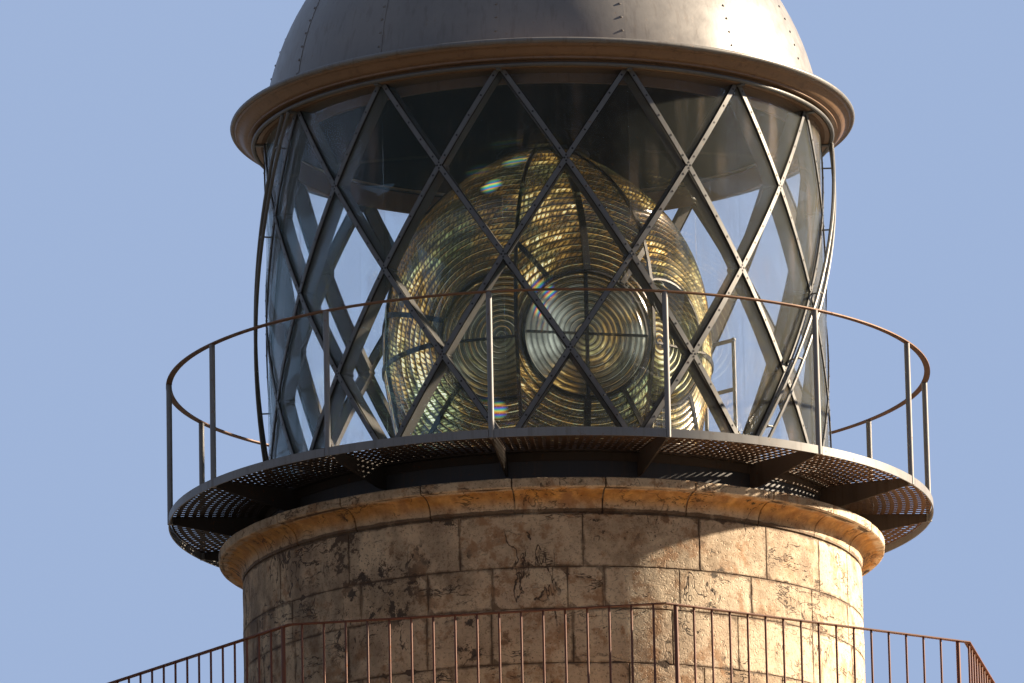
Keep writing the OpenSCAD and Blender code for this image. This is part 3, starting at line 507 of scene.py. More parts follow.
slab_stone = stone("slab_stone", soot=0.3, spots=0.8, cracks=0.6, tone=0.5)
cornice_stone = stone("cornice_stone", stain=(cornice_low + 0.02, cornice_high - 0.06), soot=0.1, spots=0.9,
                      cracks=0.7, left_darkening=0.2)
# The lantern's panes have painted sheen, and painted sunlight on their right.
lantern_glass = clear_glass("lantern_glass", (0.42, 0.76, 0.86), 0.080, 0.16, 0.40, painted_sun_tint=(0.62, 0.66, 0.60))
house_glass = clear_glass("house_glass", (0.30, 0.36, 0.40), 0.45, 0.2)
# The spots, pale spots, rainbows and glow below place painted light on the lens glass.
prism_glass = lens_glass(
    "prism_glass", base=0.14,
    spots=[(0.0, -0.50, 14.58, 0.24, 0.8), (0.02, -0.87, 14.18, 0.30, 0.85), (0.03, -1.0, 13.85, 0.24, 0.7),
           (0.64, -0.44, 14.31, 0.22, 0.5), (0.71, -0.71, 13.85, 0.24, 0.6), (0.94, -0.44, 13.66, 0.40, 0.6),
           (0.99, -0.29, 13.24, 0.45, 0.6), (0.89, -0.40, 12.92, 0.32, 0.6),
           (-0.72, -0.65, 13.90, 0.34, 0.22), (-0.47, -0.79, 14.05, 0.28, 0.15),
           (-0.22, -0.95, 13.94, 0.24, 0.15), (-0.89, -0.53, 13.67, 0.36, 0.35),
           (-0.73, -0.75, 13.49, 0.28, 0.25), (-0.93, -0.48, 13.30, 0.36, 0.50),
           (-0.80, -0.62, 13.13, 0.36, 0.70), (-0.74, -0.64, 12.90, 0.34, 0.6),
           (-0.10, -0.99, 13.05, 0.16, 1.2), (-0.05, -1.03, 13.68, 0.14, 0.8),
           (0.57, -0.80, 12.96, 0.20, 0.5), (0.1, 0.9, 13.5, 1.1, 0.5)],
    green_spots=[(-0.74, -0.64, 12.88, 0.34, 1.0), (-0.60, -0.70, 14.00, 0.40, 0.45),
                 (0.45, -0.85, 12.93, 0.30, 0.9)],
    pale_spots=[(0.94, -0.44, 13.66, 0.38, 0.60), (0.99, -0.29, 13.24, 0.42, 0.70),
                (0.89, -0.40, 12.92, 0.30, 0.45)],
    pale_colour=(0.62, 0.52, 0.27),
    rainbows=[(-0.33, -0.63, 14.38, 0.085, 0.9), (-0.18, -0.41, 14.60, 0.11, 0.35),
              (-0.05, -1.04, 13.62, 0.06, 0.5), (-0.31, -0.90, 12.86, 0.07, 0.7)],
    glints=40.0, slant=1.8, edge=(0.50, 0.56, 0.36), edge_share=0.8, teeth=0.85, glow=0.90)
eye_glass = lens_glass(
    "eye_glass", base=0.09,
    spots=[(0.34, -0.96, 13.24, 0.20, 0.5), (0.46, -0.92, 13.40, 0.20, 0.35), (0.05, -1.0, 13.0, 0.18, 0.5),
           (-0.50, -0.86, 13.10, 0.20, 0.3), (0.86, -0.52, 13.32, 0.42, 1.5)],
    green_spots=[(-0.40, -0.90, 13.30, 0.4, 0.6)],
    pale_spots=[(0.0, -1.0, 13.36, 0.25, 0.72), (-0.03, -1.0, 13.18, 0.20, 0.55),
                (0.60, -0.84, 13.36, 0.10, 0.35), (0.24, -0.98, 13.28, 0.50, 0.09),
                (-0.50, -0.88, 13.28, 0.45, 0.08), (0.60, -0.85, 13.28, 0.17, 0.45),
                (0.49, -0.90, 13.54, 0.12, 0.45), (-0.55, -0.83, 13.10, 0.12, 0.35)],
    pale_colour=(0.60, 0.65, 0.55),
    rainbows=[(-0.04, -1.0, 13.47, 0.07, 0.9), (0.02, -1.0, 13.58, 0.06, 0.8),
              (-0.10, -0.98, 13.42, 0.05, 0.7)],
    glints=12.0, slant=0.8, edge=(0.46, 0.50, 0.42), edge_share=0.7, teeth=0.15, glow=0.75)


def dress(node, material):
    """Gives a CAD node its finish."""
    piece = nodes[node]
    for held in piece.material_slots:
        held.material = material
    if not piece.material_slots:
        piece.data.materials.append(material)


def dress_cad():
    finishes = {
        strip_grey: ["cover_strips", "ring_rail", "ring_rail_brackets", "climbing_rails", "climbing_rungs"],
        post_grey: ["gallery_posts", "gallery_fascia", "inner_handrail"],
        rail_rust: ["gallery_handrail"],
        bracket_paint: ["gallery_brackets", "gallery_ledger"],
        eave_paint: ["eave"],
        dome_grey: ["ventilator"],
        bar_dark: ["glazing_bars", "lantern_kerb", "window_frames"],
        lit_head_brown: ["lantern_head"],
        wall_dark: ["murette", "service_floor", "lens_pedestal"],
        iron_dark: ["lightning_rod", "entrance_frame", "terrace_door_frame"],
        red_brown: ["railing_posts", "railing_panels"],
        door_paint: ["entrance_door", "terrace_door"],
        dark_bronze: ["lens_frame", "lens_table"],
        mortar: ["tower_walls", "tower_corner_walls", "drum_wall"],
        slab_stone: ["terrace", "ground_floor", "plinth_course"],
        lantern_glass: ["glass_panes"],
        house_glass: ["window_panes"],
    }
    for material, names in finishes.items():
        for name in names:
            dress(name, material)


dress_cad()


# Making pieces
def finish_piece(bm, name, body, materials, replaced=(), smooth=None):
    """Turns a bmesh into a piece that rides on a body, with smooth shading up to an angle in degrees."""
    mesh = bpy.data.meshes.new(name)
    bm.to_mesh(mesh)
    bm.free()
    for material in materials:
        mesh.materials.append(material)
    if smooth:
        mesh.shade_smooth()
        mesh.set_sharp_from_angle(angle=math.radians(smooth))
    piece = put_in_scene(name, mesh)
    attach(piece, body)
    if replaced:
        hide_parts(*replaced)
    return piece


def chain(bm, points, closed=False):
    """Row of vertices joined by edges, given as (radius, z) in the plane of azimuth 0."""
    row = [bm.verts.new((0, -r, z)) for r, z in points]
    edges = [bm.edges.new(pair) for pair in zip(row, row[1:] + row[:1] if closed else row[1:])]
    return row + edges


def add(whole, part):
    """Moves a part's mesh into a whole."""
    held = bpy.data.meshes.new("held")
    part.to_mesh(held)
    part.free()
    whole.from_mesh(held)
    bpy.data.meshes.remove(held)


def turned(points, steps, start=0.0, sweep=360.0, closed=False):
    """Spins a profile of (radius, z) points about the tower's axis and returns the new part."""
    bm = bmesh.new()
    profile = chain(bm, points, closed)
    bmesh.ops.rotate(bm, cent=(0, 0, 0), matrix=Matrix.Rotation(math.radians(start), 3, "Z"),
                     verts=[v for v in profile if isinstance(v, bmesh.types.BMVert)])
    whole = abs(sweep - 360) < 1e-6
    bmesh.ops.spin(bm, geom=profile, cent=(0, 0, 0), axis=(0, 0, 1), angle=math.radians(sweep), steps=steps,
                   use_merge=whole)
    if closed and not whole:
        bmesh.ops.holes_fill(bm, edges=[e for e in bm.edges if e.is_boundary], sides=0)
    return bm


def outwards(bm):
    bmesh.ops.recalc_face_normals(bm, faces=bm.faces[:])


def face_from(bm, centre, hand=1):
    """Turns every face of a sheet away from a point, or towards it with a hand of -1."""
    for face in bm.faces:
        if hand * face.normal.dot(face.calc_center_median() - centre) < 0:
            face.normal_flip()


def second_material(bm):
    for face in bm.faces:
        face.material_index = 1


def unit_bar(cuts):
    """Bar of unit size about the origin, cut across its length, which lies along X."""
    bar = bmesh.new()
    bmesh.ops.create_cube(bar, size=1)
    long_edges = [e for e in bar.edges if abs(e.verts[0].co.x - e.verts[1].co.x) > 0.5]
    bmesh.ops.subdivide_edges(bar, edges=long_edges, cuts=cuts, use_grid_fill=True)
    return bar


def copies(bm, part, places):
    """Adds a small part, kept in its own bmesh, once at each matrix."""
    stamp = bpy.data.meshes.new("stamp")
    part.to_mesh(stamp)
    part.free()
    for place in places:
        stamp.transform(place)
        bm.from_mesh(stamp)
        stamp.transform(place.inverted())
    bpy.data.meshes.remove(stamp)


def clip(bm, point, normal):
    """Cuts away what lies beyond a plane and closes the cut."""
    cut = bmesh.ops.bisect_plane(bm, geom=bm.verts[:] + bm.edges[:] + bm.faces[:], plane_co=point,
                                 plane_no=normal, clear_outer=True)["geom_cut"]
    edges = [e for e in cut if isinstance(e, bmesh.types.BMEdge) and e.is_boundary]
    bmesh.ops.holes_fill(bm, edges=edges, sides=0)


def round_head(radius, height):
    """Low rounded bolt or screw head that looks along +Z, with its foot on the XY plane."""
    bm = bmesh.new()
    bmesh.ops.create_cone(bm, cap_ends=True, segments=8, radius1=radius, radius2=radius * 0.62,
                          depth=height)
    bmesh.ops.translate(bm, vec=(0, 0, height / 2), verts=bm.verts)
    return bm


def facing(place, normal):
    """Matrix that moves a part to a place and turns its +Z along a normal."""
    return Matrix.Translation(place) @ Vector(normal).to_track_quat("Z", "Y").to_matrix().to_4x4()


# Dome
vent_r = 0.29
vent_lap = 0.04
equator_z = dome_high - math.sqrt(dome_r ** 2 - (vent_r - vent_lap) ** 2)
dome_centre = Vector((0, 0, equator_z))


def rise_of(z, radius):
    """Angle above the dome's equator at which a sphere of that radius reaches a height."""
    return math.asin((z - equator_z) / radius)


def dome_arc(radius, low, high, rows):
    """Profile of a sphere about the dome's middle between two angles of rise."""
    rises = [low + (high - low) * i / rows for i in range(rows + 1)]
    return [(radius * math.cos(rise), equator_z + radius * math.sin(rise)) for rise in rises]


def dome_gores():
    """Riveted sheets, each lapped over the next one on its right."""
    bm = bmesh.new()
    lap, sheet, wall, inset = 2.0, 0.003, 0.004, 0.001
    rows, columns = 28, 14
    arc = dome_arc(dome_r, rise_of(dome_low, dome_r), math.acos(vent_r / dome_r), rows)
    for k in range(bays):
        start = first_bay + k * bay - lap
        gore = turned(arc, columns, start, bay + lap)
        for v in gore.verts:
            azimuth = math.degrees(math.atan2(v.co.x, -v.co.y))
            share = ((azimuth - start + 1) % 360 - 1) / (bay + lap)
            v.co += (v.co - dome_centre).normalized() * (sheet * (share - 1.0) - inset)
        face_from(gore, dome_centre)
        bmesh.ops.solidify(gore, geom=gore.faces[:], thickness=wall)
        add(bm, gore)
    finish_piece(bm, "dome_gores", "tower", [dome_grey], ["dome", "dome_straps"], smooth=30)


def dome_rivets():
    """Rows of rivets along the right edge of each sheet."""
    bm = bmesh.new()
    spacing, from_seam, from_vent = 0.094, 0.022, 0.06
    pitch = spacing / dome_r
    low = rise_of(dome_low, dome_r) + pitch
    count = int((math.acos((vent_r + from_vent) / dome_r) - low) / pitch)
    seat_r = dome_r - 0.001
    places = []
    for k in range(bays):
        for i in range(count):
            rise = low + i * pitch
            azimuth = first_bay + k * bay - math.degrees(from_seam / (dome_r * math.cos(rise)))
            spot = polar(seat_r * math.cos(rise), azimuth, equator_z + seat_r * math.sin(rise))
            places.append(facing(spot, spot - dome_centre))
    copies(bm, round_head(0.009, 0.006), places)
    finish_piece(bm, "dome_rivets", "tower", [dome_grey])


def dome_lining():
    """Dark inner skin of the dome, with a ring round its foot whose pale colour is painted light."""
    skin = dome_r - 0.05
    nearly_up, rows, around = 1.5, 20, 84
    bm = turned(dome_arc(skin, rise_of(head_high + 0.01, skin), nearly_up, rows), around)
    outwards(bm)
    face_from(bm, dome_centre, -1)
    inner, outer, low = skin - 0.030, skin + 0.004, head_high + 0.035
    high = low + 0.014
    ring = turned([(inner, low), (outer, low), (outer, high), (inner, high)], around, closed=True)
    outwards(ring)
    second_material(ring)
    add(bm, ring)
    finish_piece(bm, "dome_lining", "tower", [lining_dark, lit_lining_ring], smooth=40)


dome_gores()
dome_rivets()
dome_lining()


# Lantern
lattice_rows, row_h = 4, 0.6
lattice_top = head_low + 0.087


def lattice_bars():
    """Bars of the lattice as functions from a share of their length to an angle and a height."""
    for k in range(bays):
        for row in range(lattice_rows):
            for hand in (-1, 1):
                yield hand, lambda share: (first_bay + (k + hand * (row + share) / 2) * bay,
                                           lattice_top - (row + share) * row_h)


def strip_screws():
    """Screw heads along the cover strips and round their crossings."""
    bm = bmesh.new()
    seat_r, per_bar = strip_r - 0.001, 5
    places = []
    for hand, along in lattice_bars():
        for i in range(per_bar):
            azimuth, z = along((i + 0.5) / per_bar)
            places.append(facing(polar(seat_r, azimuth, z), polar(1, azimuth)))
        if hand > 0:
            azimuth, z = along(1)
            for side, up in ((0.36, 0), (-0.36, 0), (0, 0.018), (0, -0.018)):
                places.append(facing(polar(seat_r, azimuth + side, z + up), polar(1, azimuth)))
    copies(bm, round_head(0.008, 0.0035), places)
    finish_piece(bm, "strip_screws", "tower", [iron_dark])


def putty_and_shadow_lines():
    """Dark putty along both edges of the cover strips, following the glass; it also stands in for the shadow
    lines the strips cast, as painted shade.
    """
    bm = bmesh.new()
    half_w, thick, trim = 0.0185, 0.0035, 0.001
    seat_r = glass_r + 0.0002
    across = Vector((math.radians(bay / 2) * seat_r, -row_h)).normalized()
    for hand, along in lattice_bars():
        bar = unit_bar(5)
        for v in bar.verts:
            side, lift = v.co.y * 2 * half_w, (v.co.z + 0.5) * thick
            azimuth, z = along(v.co.x + 0.5)
            azimuth += hand * math.degrees(-across.y * side / seat_r)
            v.co = polar(seat_r + lift, azimuth, z + across.x * side)
        outwards(bar)
        add(bm, bar)
    clip(bm, (0, 0, glass_high - trim), (0, 0, 1))
    clip(bm, (0, 0, glass_low + trim), (0, 0, -1))
    finish_piece(bm, "putty_and_shadow_lines", "tower", [putty_and_shadow_dark])


def perforated_floor():
    """Gallery floor sheets with rows of punched holes, rusted wider in places on the right."""
    inner, outer = murette_r + 0.003, gallery_r - 0.012
    pitch, thick = 0.048, 0.0045
    most_left, least_rusty = -1.7, 0.16
    rows = round((outer - inner) / pitch)
    radii = [inner + (outer - inner) * i / rows for i in range(rows + 1)]
    around = round(2 * math.pi * (inner + outer) / 2 / pitch)
    around -= around % bays
    bm = turned([(r, gallery_z - 0.003) for r in radii], around, first_bay)
    wide, narrow = [], []
    for face in bm.faces:
        middle = face.calc_center_median()
        rusted = middle.x > most_left and noise.noise(middle * 2.6) > least_rusty
        (wide if rusted else narrow).append(face)
    rims = set()
    for group, rim in ((wide, 0.0130), (narrow, 0.0190)):
        rims.update(bmesh.ops.inset_individual(bm, faces=group, thickness=rim)["faces"])
    bmesh.ops.delete(bm, geom=[f for f in bm.faces if f not in rims], context="FACES_ONLY")
    outwards(bm)
    tower_foot = Vector((0, 0, 0))
    face_from(bm, tower_foot)
    piece = finish_piece(bm, "perforated_floor", "tower", [floor_paint], ["gallery_floor"])
    wall = piece.modifiers.new("thickness", "SOLIDIFY")
    wall.thickness = thick
    wall.offset = -1


strip_screws()
putty_and_shadow_lines()
perforated_floor()


# Stone
rng = random.Random(11)
# Without a seed, noise_vector starts from the clock and the cornice differs from run to run
noise.seed_set(11)
joint = 0.005
proud = 0.004


def stone_block(x0, x1, z0, z1, spacing, roughness, grime=1.0):
    """Dressed block with rounded edges and its face on y = 0, with x along the wall and z up."""
    bm = bmesh.new()
    wide, high, depth = x1 - x0, z1 - z0, 0.03
    grime_reach, chip_reach, chip_deep, chip_in = 0.03, 0.04, 0.015, 0.012
    bmesh.ops.create_grid(bm, x_segments=max(1, round(wide / spacing)),
                          y_segments=max(1, round(high / spacing)), size=0.5,
                          matrix=Matrix.Rotation(-math.pi / 2, 4, "X"))
    middle = Vector(((x0 + x1) / 2, 0, (z0 + z1) / 2))
    bmesh.ops.scale(bm, vec=(wide, 1, high), verts=bm.verts)
    bmesh.ops.translate(bm, vec=middle, verts=bm.verts)
    rim = [e for e in bm.edges if e.is_boundary]
    sides = bmesh.ops.extrude_edge_only(bm, edges=rim)["geom"]
    back = [v for v in sides if isinstance(v, bmesh.types.BMVert)]
    bmesh.ops.translate(bm, vec=(0, -depth, 0), verts=back)
    worn = random.Random(round(x0 * 977 + z0 * 131)).uniform(0.0015, 0.0045)
    face_edges = [e for e in bm.edges if e.calc_length() > 0 and all(abs(v.co.y) < 1e-6 for v in e.verts)
                  and len(e.link_faces) == 2 and e.calc_face_angle(0) > 1]
    bmesh.ops.bevel(bm, geom=face_edges, offset=worn, offset_type="OFFSET", segments=2, profile=0.5,
                    affect="EDGES", material=-1)
    grimy = bm.verts.layers.float.new("edge")
    for v in bm.verts:
        v[grimy] = grime
        if v.co.y > -depth / 2:
            edge = min(v.co.x - x0, x1 - v.co.x, v.co.z - z0, z1 - v.co.z)
            v[grimy] = grime * max(0.0, 1 - edge / grime_reach)
            chip = max(0.0, noise.noise(v.co * 11) - 0.22) * max(0.0, 1 - edge / chip_reach)
            v.co.y += roughness * (noise.noise(v.co * 6) + 0.5 * noise.noise(v.co * 24)) - chip_deep * chip
            v.co += (middle - v.co).normalized() * chip_in * chip
    outwards(bm)
    return bm


def toned(bm, tone):
    """Marks all faces of a block with its own tone of stone."""
    layer = bm.faces.layers.float.new("tone")
    for face in bm.faces:
        face[layer] = tone
    return bm


def course_joints(length, least, most):
    """Ends of the blocks in a course of that length."""
    ends = [0.0]
    while ends[-1] < length - most * 0.6:
        ends.append(ends[-1] + rng.uniform(least, most))
    return [e * length / ends[-1] for e in ends]


def without(rect, hole):
    """What is left of a rectangle (x0, x1, z0, z1) round a hole."""
    x0, x1, z0, z1 = rect
    a0, a1, c0, c1 = hole
    if a1 <= x0 or a0 >= x1 or c1 <= z0 or c0 >= z1:
        return [rect]
    parts = [(x0, min(x1, a0), z0, z1), (max(x0, a1), x1, z0, z1),
             (max(x0, a0), min(x1, a1), z0, c0), (max(x0, a0), min(x1, a1), c1, z1)]
    least = 0.03
    return [p for p in parts if p[1] - p[0] > least and p[3] - p[2] > least]


def drum_stones():
    """Courses of the drum, where the two upper ones have joints seen at those angles from the front."""
    bm = bmesh.new()
    radius = drum_r + proud
    round_trip = 2 * math.pi * drum_r
    down_from_gallery = (0.757, 1.014, 1.35, 1.69, 2.03)
    courses = [drum_high] + [gallery_z - down for down in down_from_gallery] + [drum_low]
    low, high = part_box("terrace_door_frame")
    middle = (low + high) / 2
    door_x = math.atan2(middle.x, -middle.y) % math.tau * drum_r
    door_half = 0.31
    hole = (door_x - door_half, door_x + door_half, low.z, high.z)
    seen = [(-59.4, -39.5, -16.6, 5.6, 27.4, 42.3, 57.6),
            (-55.3, -36.8, -22.8, -10.7, 2.7, 9.2, 23.3, 38.4, 54.8)]
    for n, (top, bottom) in enumerate(zip(courses, courses[1:])):
        offset = rng.uniform(0, 0.5)
        ends = course_joints(round_trip, 0.36, 0.72)
        if n < len(seen):
            first, last = (math.radians(a) * drum_r for a in (seen[n][0], seen[n][-1]))
            offset = first
            around = [last - first + e for e in course_joints(round_trip - (last - first), 0.42, 0.72)]
            ends = [math.radians(a) * drum_r - first for a in seen[n][:-1]] + around
        for a, b in zip(ends, ends[1:]):
            tone = rng.random()
            shift = offset - (round_trip if a + offset > round_trip else 0)
            block = (a + shift + joint / 2, b + shift - joint / 2, bottom + joint / 2, top - joint / 2)
            for rect in without(block, hole):
                part = toned(stone_block(*rect, spacing=0.042, roughness=0.0025), tone)
                for v in part.verts:
                    v.co = polar(radius + v.co.y, math.degrees(v.co.x / drum_r), v.co.z)
                add(bm, part)
    finish_piece(bm, "drum_stones", "tower", [drum_stone], smooth=14)


def cornice_profile():
    """Section of the cornice as (radius, z) points: a foot, a cove and a fillet on top."""
    low, high = cornice_low, cornice_high
    inside, lip, steps = drum_r - 0.10, 0.006, 9
    fillet_low, cove_low = high - 0.058, low + 0.034
    foot = [(inside, low + 0.002), (drum_r - 0.006, low + 0.002), (drum_r - 0.006, low + 0.012),
            (drum_r + 0.006, low + 0.012), (drum_r + 0.006, cove_low)]
    cove = []
    for i in range(steps + 1):
        a = math.pi / 2 * i / steps
        cove.append((drum_r + 0.008 + (cornice_r - drum_r - 0.036) * (1 - math.cos(a)),
                     cove_low + (fillet_low - low - 0.034) * math.sin(a)))
    return foot + cove + [(cornice_r - 0.010, fillet_low), (cornice_r - 0.002, fillet_low + lip),
                          (cornice_r, high - lip), (cornice_r - lip, high), (inside, high)]


def set_back(r, z):
    """Point of the section moved inwards for the bed behind the blocks."""
    up = 0.006 if z < cornice_low + 0.05 else -0.006 if z > cornice_high - 0.03 else 0
    return r - 0.012 if r > drum_r - 0.05 else r, z + up


def cornice_stones():
    """Moulded blocks of the cornice, with a recessed bed behind their joints."""
    bm = bmesh.new()
    profile = cornice_profile()
    blocks, first_joint, gap = 23, -6.4, 0.30
    for k in range(blocks):
        part = turned(profile, 9, first_joint + k * 360 / blocks + gap / 2, 360 / blocks - gap, closed=True)
        shift = Vector((0, 0, rng.uniform(-0.0015, 0.0015)))
        grow = 1 + rng.uniform(-0.0012, 0.0006)
        for v in part.verts:
            v.co = Vector((v.co.x * grow, v.co.y * grow, v.co.z)) + shift
            v.co += 0.0018 * noise.noise_vector(v.co * 8)
        outwards(part)
        add(bm, toned(part, rng.random()))
    bed = turned([set_back(r, z) for r, z in profile], 120, closed=True)
    outwards(bed)
    second_material(bed)
    add(bm, toned(bed, 0.2))
    finish_piece(bm, "cornice_stones", "tower", [cornice_stone, mortar], ["stone_cornice"],
                 smooth=35)


def tower_holes():
    """Openings of the tower's sides as (x0, x1, z0, z1) along the wall and up: an entrance and windows."""
    door_half, door_foot, door_high = 0.48, 0.16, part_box("entrance_frame")[1].z
    window_half, window_high, storey = 0.26, 0.9, 2.9
    holes = {front_side: [(-door_half, door_half, door_foot, door_high)], back_side: []}
    for row in range(2):
        for side, first_sill in ((front_side, 3.5), (back_side, 2.05)):
            sill = first_sill + storey * row
            holes[side].append((-window_half, window_half, sill, sill + window_high))
    return holes


def tower_stones():
    bm = bmesh.new()
    tower_flat, course, sides = 2.54, 0.36, 8
    side_w = 2 * tower_flat * math.tan(math.pi / sides)
    low, high = heights("plinth_course")[1], heights("tower_walls")[1]
    count = round((high - low) / course)
    holes = tower_holes()
    for side in range(sides):
        angle = math.radians(octagon_turn + (side + 0.5) * 360 / sides)
        out = Vector((math.cos(angle), math.sin(angle), 0))
        along = Vector((-math.sin(angle), math.cos(angle), 0))
        for n in range(count):
            z0, z1 = (low + (high - low) * m / count for m in (n, n + 1))
            ends = [e - side_w / 2 for e in course_joints(side_w, 0.42, 0.78)]
            for a, b in zip(ends, ends[1:]):
                tone = rng.random()
                rects = [(a + joint / 2, b - joint / 2, z0 + joint / 2, z1 - joint / 2)]
                for hole in holes.get(side, []):
                    rects = [r for rect in rects for r in without(rect, hole)]
                for rect in rects:
                    block = stone_block(*rect, spacing=0.12, roughness=0.003, grime=0.42)
                    part = toned(block, tone)
                    for v in part.verts:
                        reach = tower_flat + proud + v.co.y
                        v.co = out * reach + along * v.co.x * (reach / tower_flat) + Vector((0, 0, v.co.z))
                    add(bm, part)
    finish_piece(bm, "tower_stones", "tower", [wall_stone], smooth=14)


drum_stones()
cornice_stones()
tower_stones()


# Lens
focal_z = gallery_z + 0.935
lens_turn = 14.5
axis_step = 31.5
panel_half = 24.9
eye_r = 0.39
lens_r = 1.045
lens_up, lens_down = 1.385, 1.18
lens_foot_r = 0.8
half_rib = 0.0115
# Powers that bend the beehive above and below the focal plane, and the reach of its crown
crown_bend, crown_round, foot_bend = 2.92, 0.826, 1.15
crown_reach = lens_up * 1.0757


def beehive(h):
    """Radius of the lens at a height above its focal plane."""
    if h > 0:
        return lens_r * (1 - min(h / crown_reach, 0.9999) ** crown_bend) ** crown_round
    return lens_r - (lens_r - lens_foot_r) * (-h / lens_down) ** foot_bend


def on_beehive(t, h, lift):
    """Point of a panel in its own axes: x along the panel's axis, y across it and z up."""
    h = max(-lens_down * 1.02, min(lens_up * 1.03, h))
    radius, step = beehive(h), 0.002
    t = max(-0.985 * radius, min(0.985 * radius, t))
    slope = (beehive(h + step) - beehive(h - step)) / (2 * step)
    depth = math.sqrt(radius ** 2 - t ** 2)
    normal = Vector((depth / radius, t / radius, -slope)).normalized()
    return Vector((depth, t, h)) + lift * normal


def sector_clip(bm, low, high):
    """Cuts a panel to its place between two ribs, at angles from the panel's axis."""
    for angle, hand in ((low, -1), (high, 1)):
        a = math.radians(angle)
        normal = Vector((-math.sin(a), math.cos(a), 0)) * hand
        clip(bm, normal * -half_rib, normal)
    clip(bm, (0, 0, lens_high - focal_z), (0, 0, 1))
    clip(bm, (0, 0, lens_low - focal_z), (0, 0, -1))


def ring_about_axis(profile, steps):
    """Spins a closed profile of (depth, distance from the axis) points about a panel's axis, along X."""
    bm = bmesh.new()
    row = [bm.verts.new((depth, rho, 0)) for depth, rho in profile]
    edges = [bm.edges.new(pair) for pair in zip(row, row[1:] + row[:1])]
    bmesh.ops.spin(bm, geom=row + edges, cent=(0, 0, 0), axis=(1, 0, 0), angle=math.tau, steps=steps,
                   use_merge=True)
    return bm


def mark_rings(bm, first, pitch, count_from):
    """Keeps for each point its direction round the panel's axis and its place across the rings."""
    around = bm.verts.layers.float_vector.new("around")
    for v in bm.verts:
        rho = max(1e-6, math.hypot(v.co.y, v.co.z))
        v[around] = (v.co.y / rho, v.co.z / rho, count_from + (rho - first) / pitch)


def prism_rings(low, high):
    """Stack of prism rings about one panel's axis."""
    whole = bmesh.new()
    pitch, gap, groove, back, around = 0.043, 0.004, 0.020, 0.050, 96
    first, farthest = eye_r + 0.014, 1.72
    for j in range(math.ceil((farthest - eye_r) / pitch)):
        inner = first + j * pitch
        outer = inner + pitch - gap
        profile = [(-groove, inner), (-0.006, inner + 0.35 * pitch), (0, outer - 0.3 * pitch),
                   (-0.004, outer), (-back, outer), (-back, inner)]
        ring = ring_about_axis(profile, around)
        mark_rings(ring, first, pitch, 0)
        for v in ring.verts:
            v.co = on_beehive(v.co.y, v.co.z, v.co.x)
        outwards(ring)
        add(whole, ring)
    sector_clip(whole, low, high)
    return whole


def bulls_eye(low, high):
    """Round middle lens of a panel, in rings with curved faces."""
    whole = bmesh.new()
    face_x, back, gap = 0.962, 0.025, 0.001
    crown, fall, steps, around = 0.030, 0.020, 4, 72
    rings = 11
    pitch = eye_r / rings
    for j in range(rings):
        inner, outer = j * pitch + gap, (j + 1) * pitch - gap
        curve = []
        for i in range(steps + 1):
            rho = inner + (outer - inner) * i / steps
            share = (rho - inner) / pitch
            curve.append((face_x + crown - fall * share ** 1.5 * (1 + j * 0.12), rho))
        ring = ring_about_axis(curve + [(face_x - back, outer), (face_x - back, inner)], around)
        mark_rings(ring, 0, pitch, -rings)
        outwards(ring)
        add(whole, ring)
    sector_clip(whole, low, high)
    return whole


def radial_bar(turn, width, high_lift):
    """Bar of a panel's frame that follows the glass outwards from the bull's eye."""
    start, end, low_lift = eye_r + 0.01, 1.7, -0.058
    a = math.radians(turn)
    out = Vector((0, math.cos(a), math.sin(a)))
    side = Vector((0, -math.sin(a), math.cos(a)))
    bar = unit_bar(23)
    for v in bar.verts:
        place = out * (start + (end - start) * (v.co.x + 0.5)) + side * width * v.co.y
        v.co = on_beehive(place.y, place.z, low_lift + (high_lift - low_lift) * (v.co.z + 0.5))
    return bar


def panel_bars(low, high):
    """Bronze frame of a panel: radial bars, and bars across the bull's eye."""
    whole = bmesh.new()
    middle = high - low < 60
    left = low < -40
    uprights = (90, 270)
    for turn in (*uprights, 125, 55, 235, 305) if middle else (160, 180, 225) if left else (20, 0, 315):
        add(whole, radial_bar(turn, 0.042, 0.016) if turn in uprights else radial_bar(turn, 0.032, 0.008))
    for wide, tall in ((0.020, 2 * eye_r), (2 * eye_r, 0.012)):
        if middle or tall < wide:
            bar = bmesh.new()
            bmesh.ops.create_cube(bar, size=1)
            bmesh.ops.scale(bar, vec=(0.03, wide, tall), verts=bar.verts)
            bmesh.ops.translate(bar, vec=(0.993, 0, 0 if middle else -0.01), verts=bar.verts)
            add(whole, bar)
    outwards(whole)
    sector_clip(whole, low, high)
    return whole


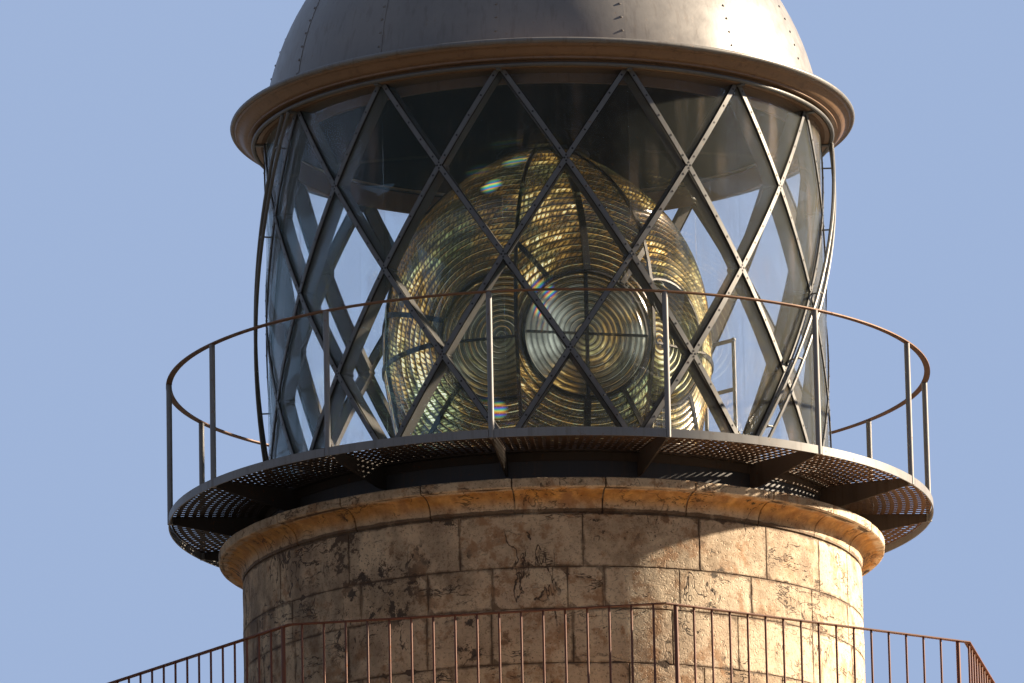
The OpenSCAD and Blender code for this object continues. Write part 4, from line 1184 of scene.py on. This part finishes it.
def place_panels(make):
    """Makes one thing for each of the six panels and gathers them in one bmesh."""
    step, half = axis_step, panel_half
    left, right = (step - 90, step - half), (half - step, 90 - step)
    spans = ((0, -half, half), (step, *right), (180 - step, *left),
             (180, -half, half), (180 + step, *right), (-step, *left))
    gathered = bmesh.new()
    for axis, low, high in spans:
        part = make(low, high)
        turn = math.radians(axis + lens_turn - 90)
        place = Matrix.Translation((0, 0, focal_z)) @ Matrix.Rotation(turn, 4, "Z")
        bmesh.ops.transform(part, matrix=place, verts=part.verts)
        add(gathered, part)
    return gathered


lens_rings = place_panels(prism_rings)
finish_piece(lens_rings, "lens_rings", "lens", [prism_glass], ["lens_prisms"], smooth=20)
eye_rings = place_panels(bulls_eye)
finish_piece(eye_rings, "eye_rings", "lens", [eye_glass], ["bulls_eyes"], smooth=25)
finish_piece(place_panels(panel_bars), "lens_bars", "lens", [dark_bronze])


# Stage
def add_stage():
    """Pale floor and background, a soft warm key from the right and a cool fill."""
    under_foot = 0.002
    bpy.ops.mesh.primitive_plane_add(size=600, location=(0, 0, -under_foot))
    ground = bpy.context.object
    ground.name = "pale_floor"
    material, t, shader, _ = new_material("pale_floor")
    camera_ray = t.add("LightPath").outputs["Is Camera Ray"]
    tone = t.mix(camera_ray, (0.068, 0.066, 0.068, 1), (0.50, 0.52, 0.54, 1))
    t.feed_all(shader, Base_Color=tone, Roughness=0.9)
    ground.data.materials.append(material)

    sun = bpy.data.lights.new("warm_key", "SUN")
    sun.energy = 13.8
    sun.color = (1.0, 0.82, 0.61)
    sun.angle = math.radians(1.2)
    lamp = put_in_scene("warm_key", sun)
    rise, azimuth = math.radians(26), 103.5
    towards = polar(math.cos(rise), azimuth, math.sin(rise))
    lamp.rotation_euler = towards.to_track_quat("Z", "Y").to_euler()

    world = bpy.data.worlds.new("pale_sky")
    bpy.context.scene.world = world
    world.use_nodes = True
    w = Tree(world.node_tree)
    back = world.node_tree.nodes["Background"]
    path = w.add("LightPath").outputs
    seen = w.math("MAXIMUM", path["Is Camera Ray"], path["Is Transmission Ray"])
    lit = w.mix(path["Is Glossy Ray"], (0.084, 0.086, 0.100, 1), (0.27, 0.36, 0.54, 1))
    w.feed(back.inputs["Color"], w.mix(seen, lit, (0.345, 0.458, 0.695, 1)))
    back.inputs["Strength"].default_value = 1.0
    bpy.context.scene.view_settings.view_transform = "Standard"


add_stage()
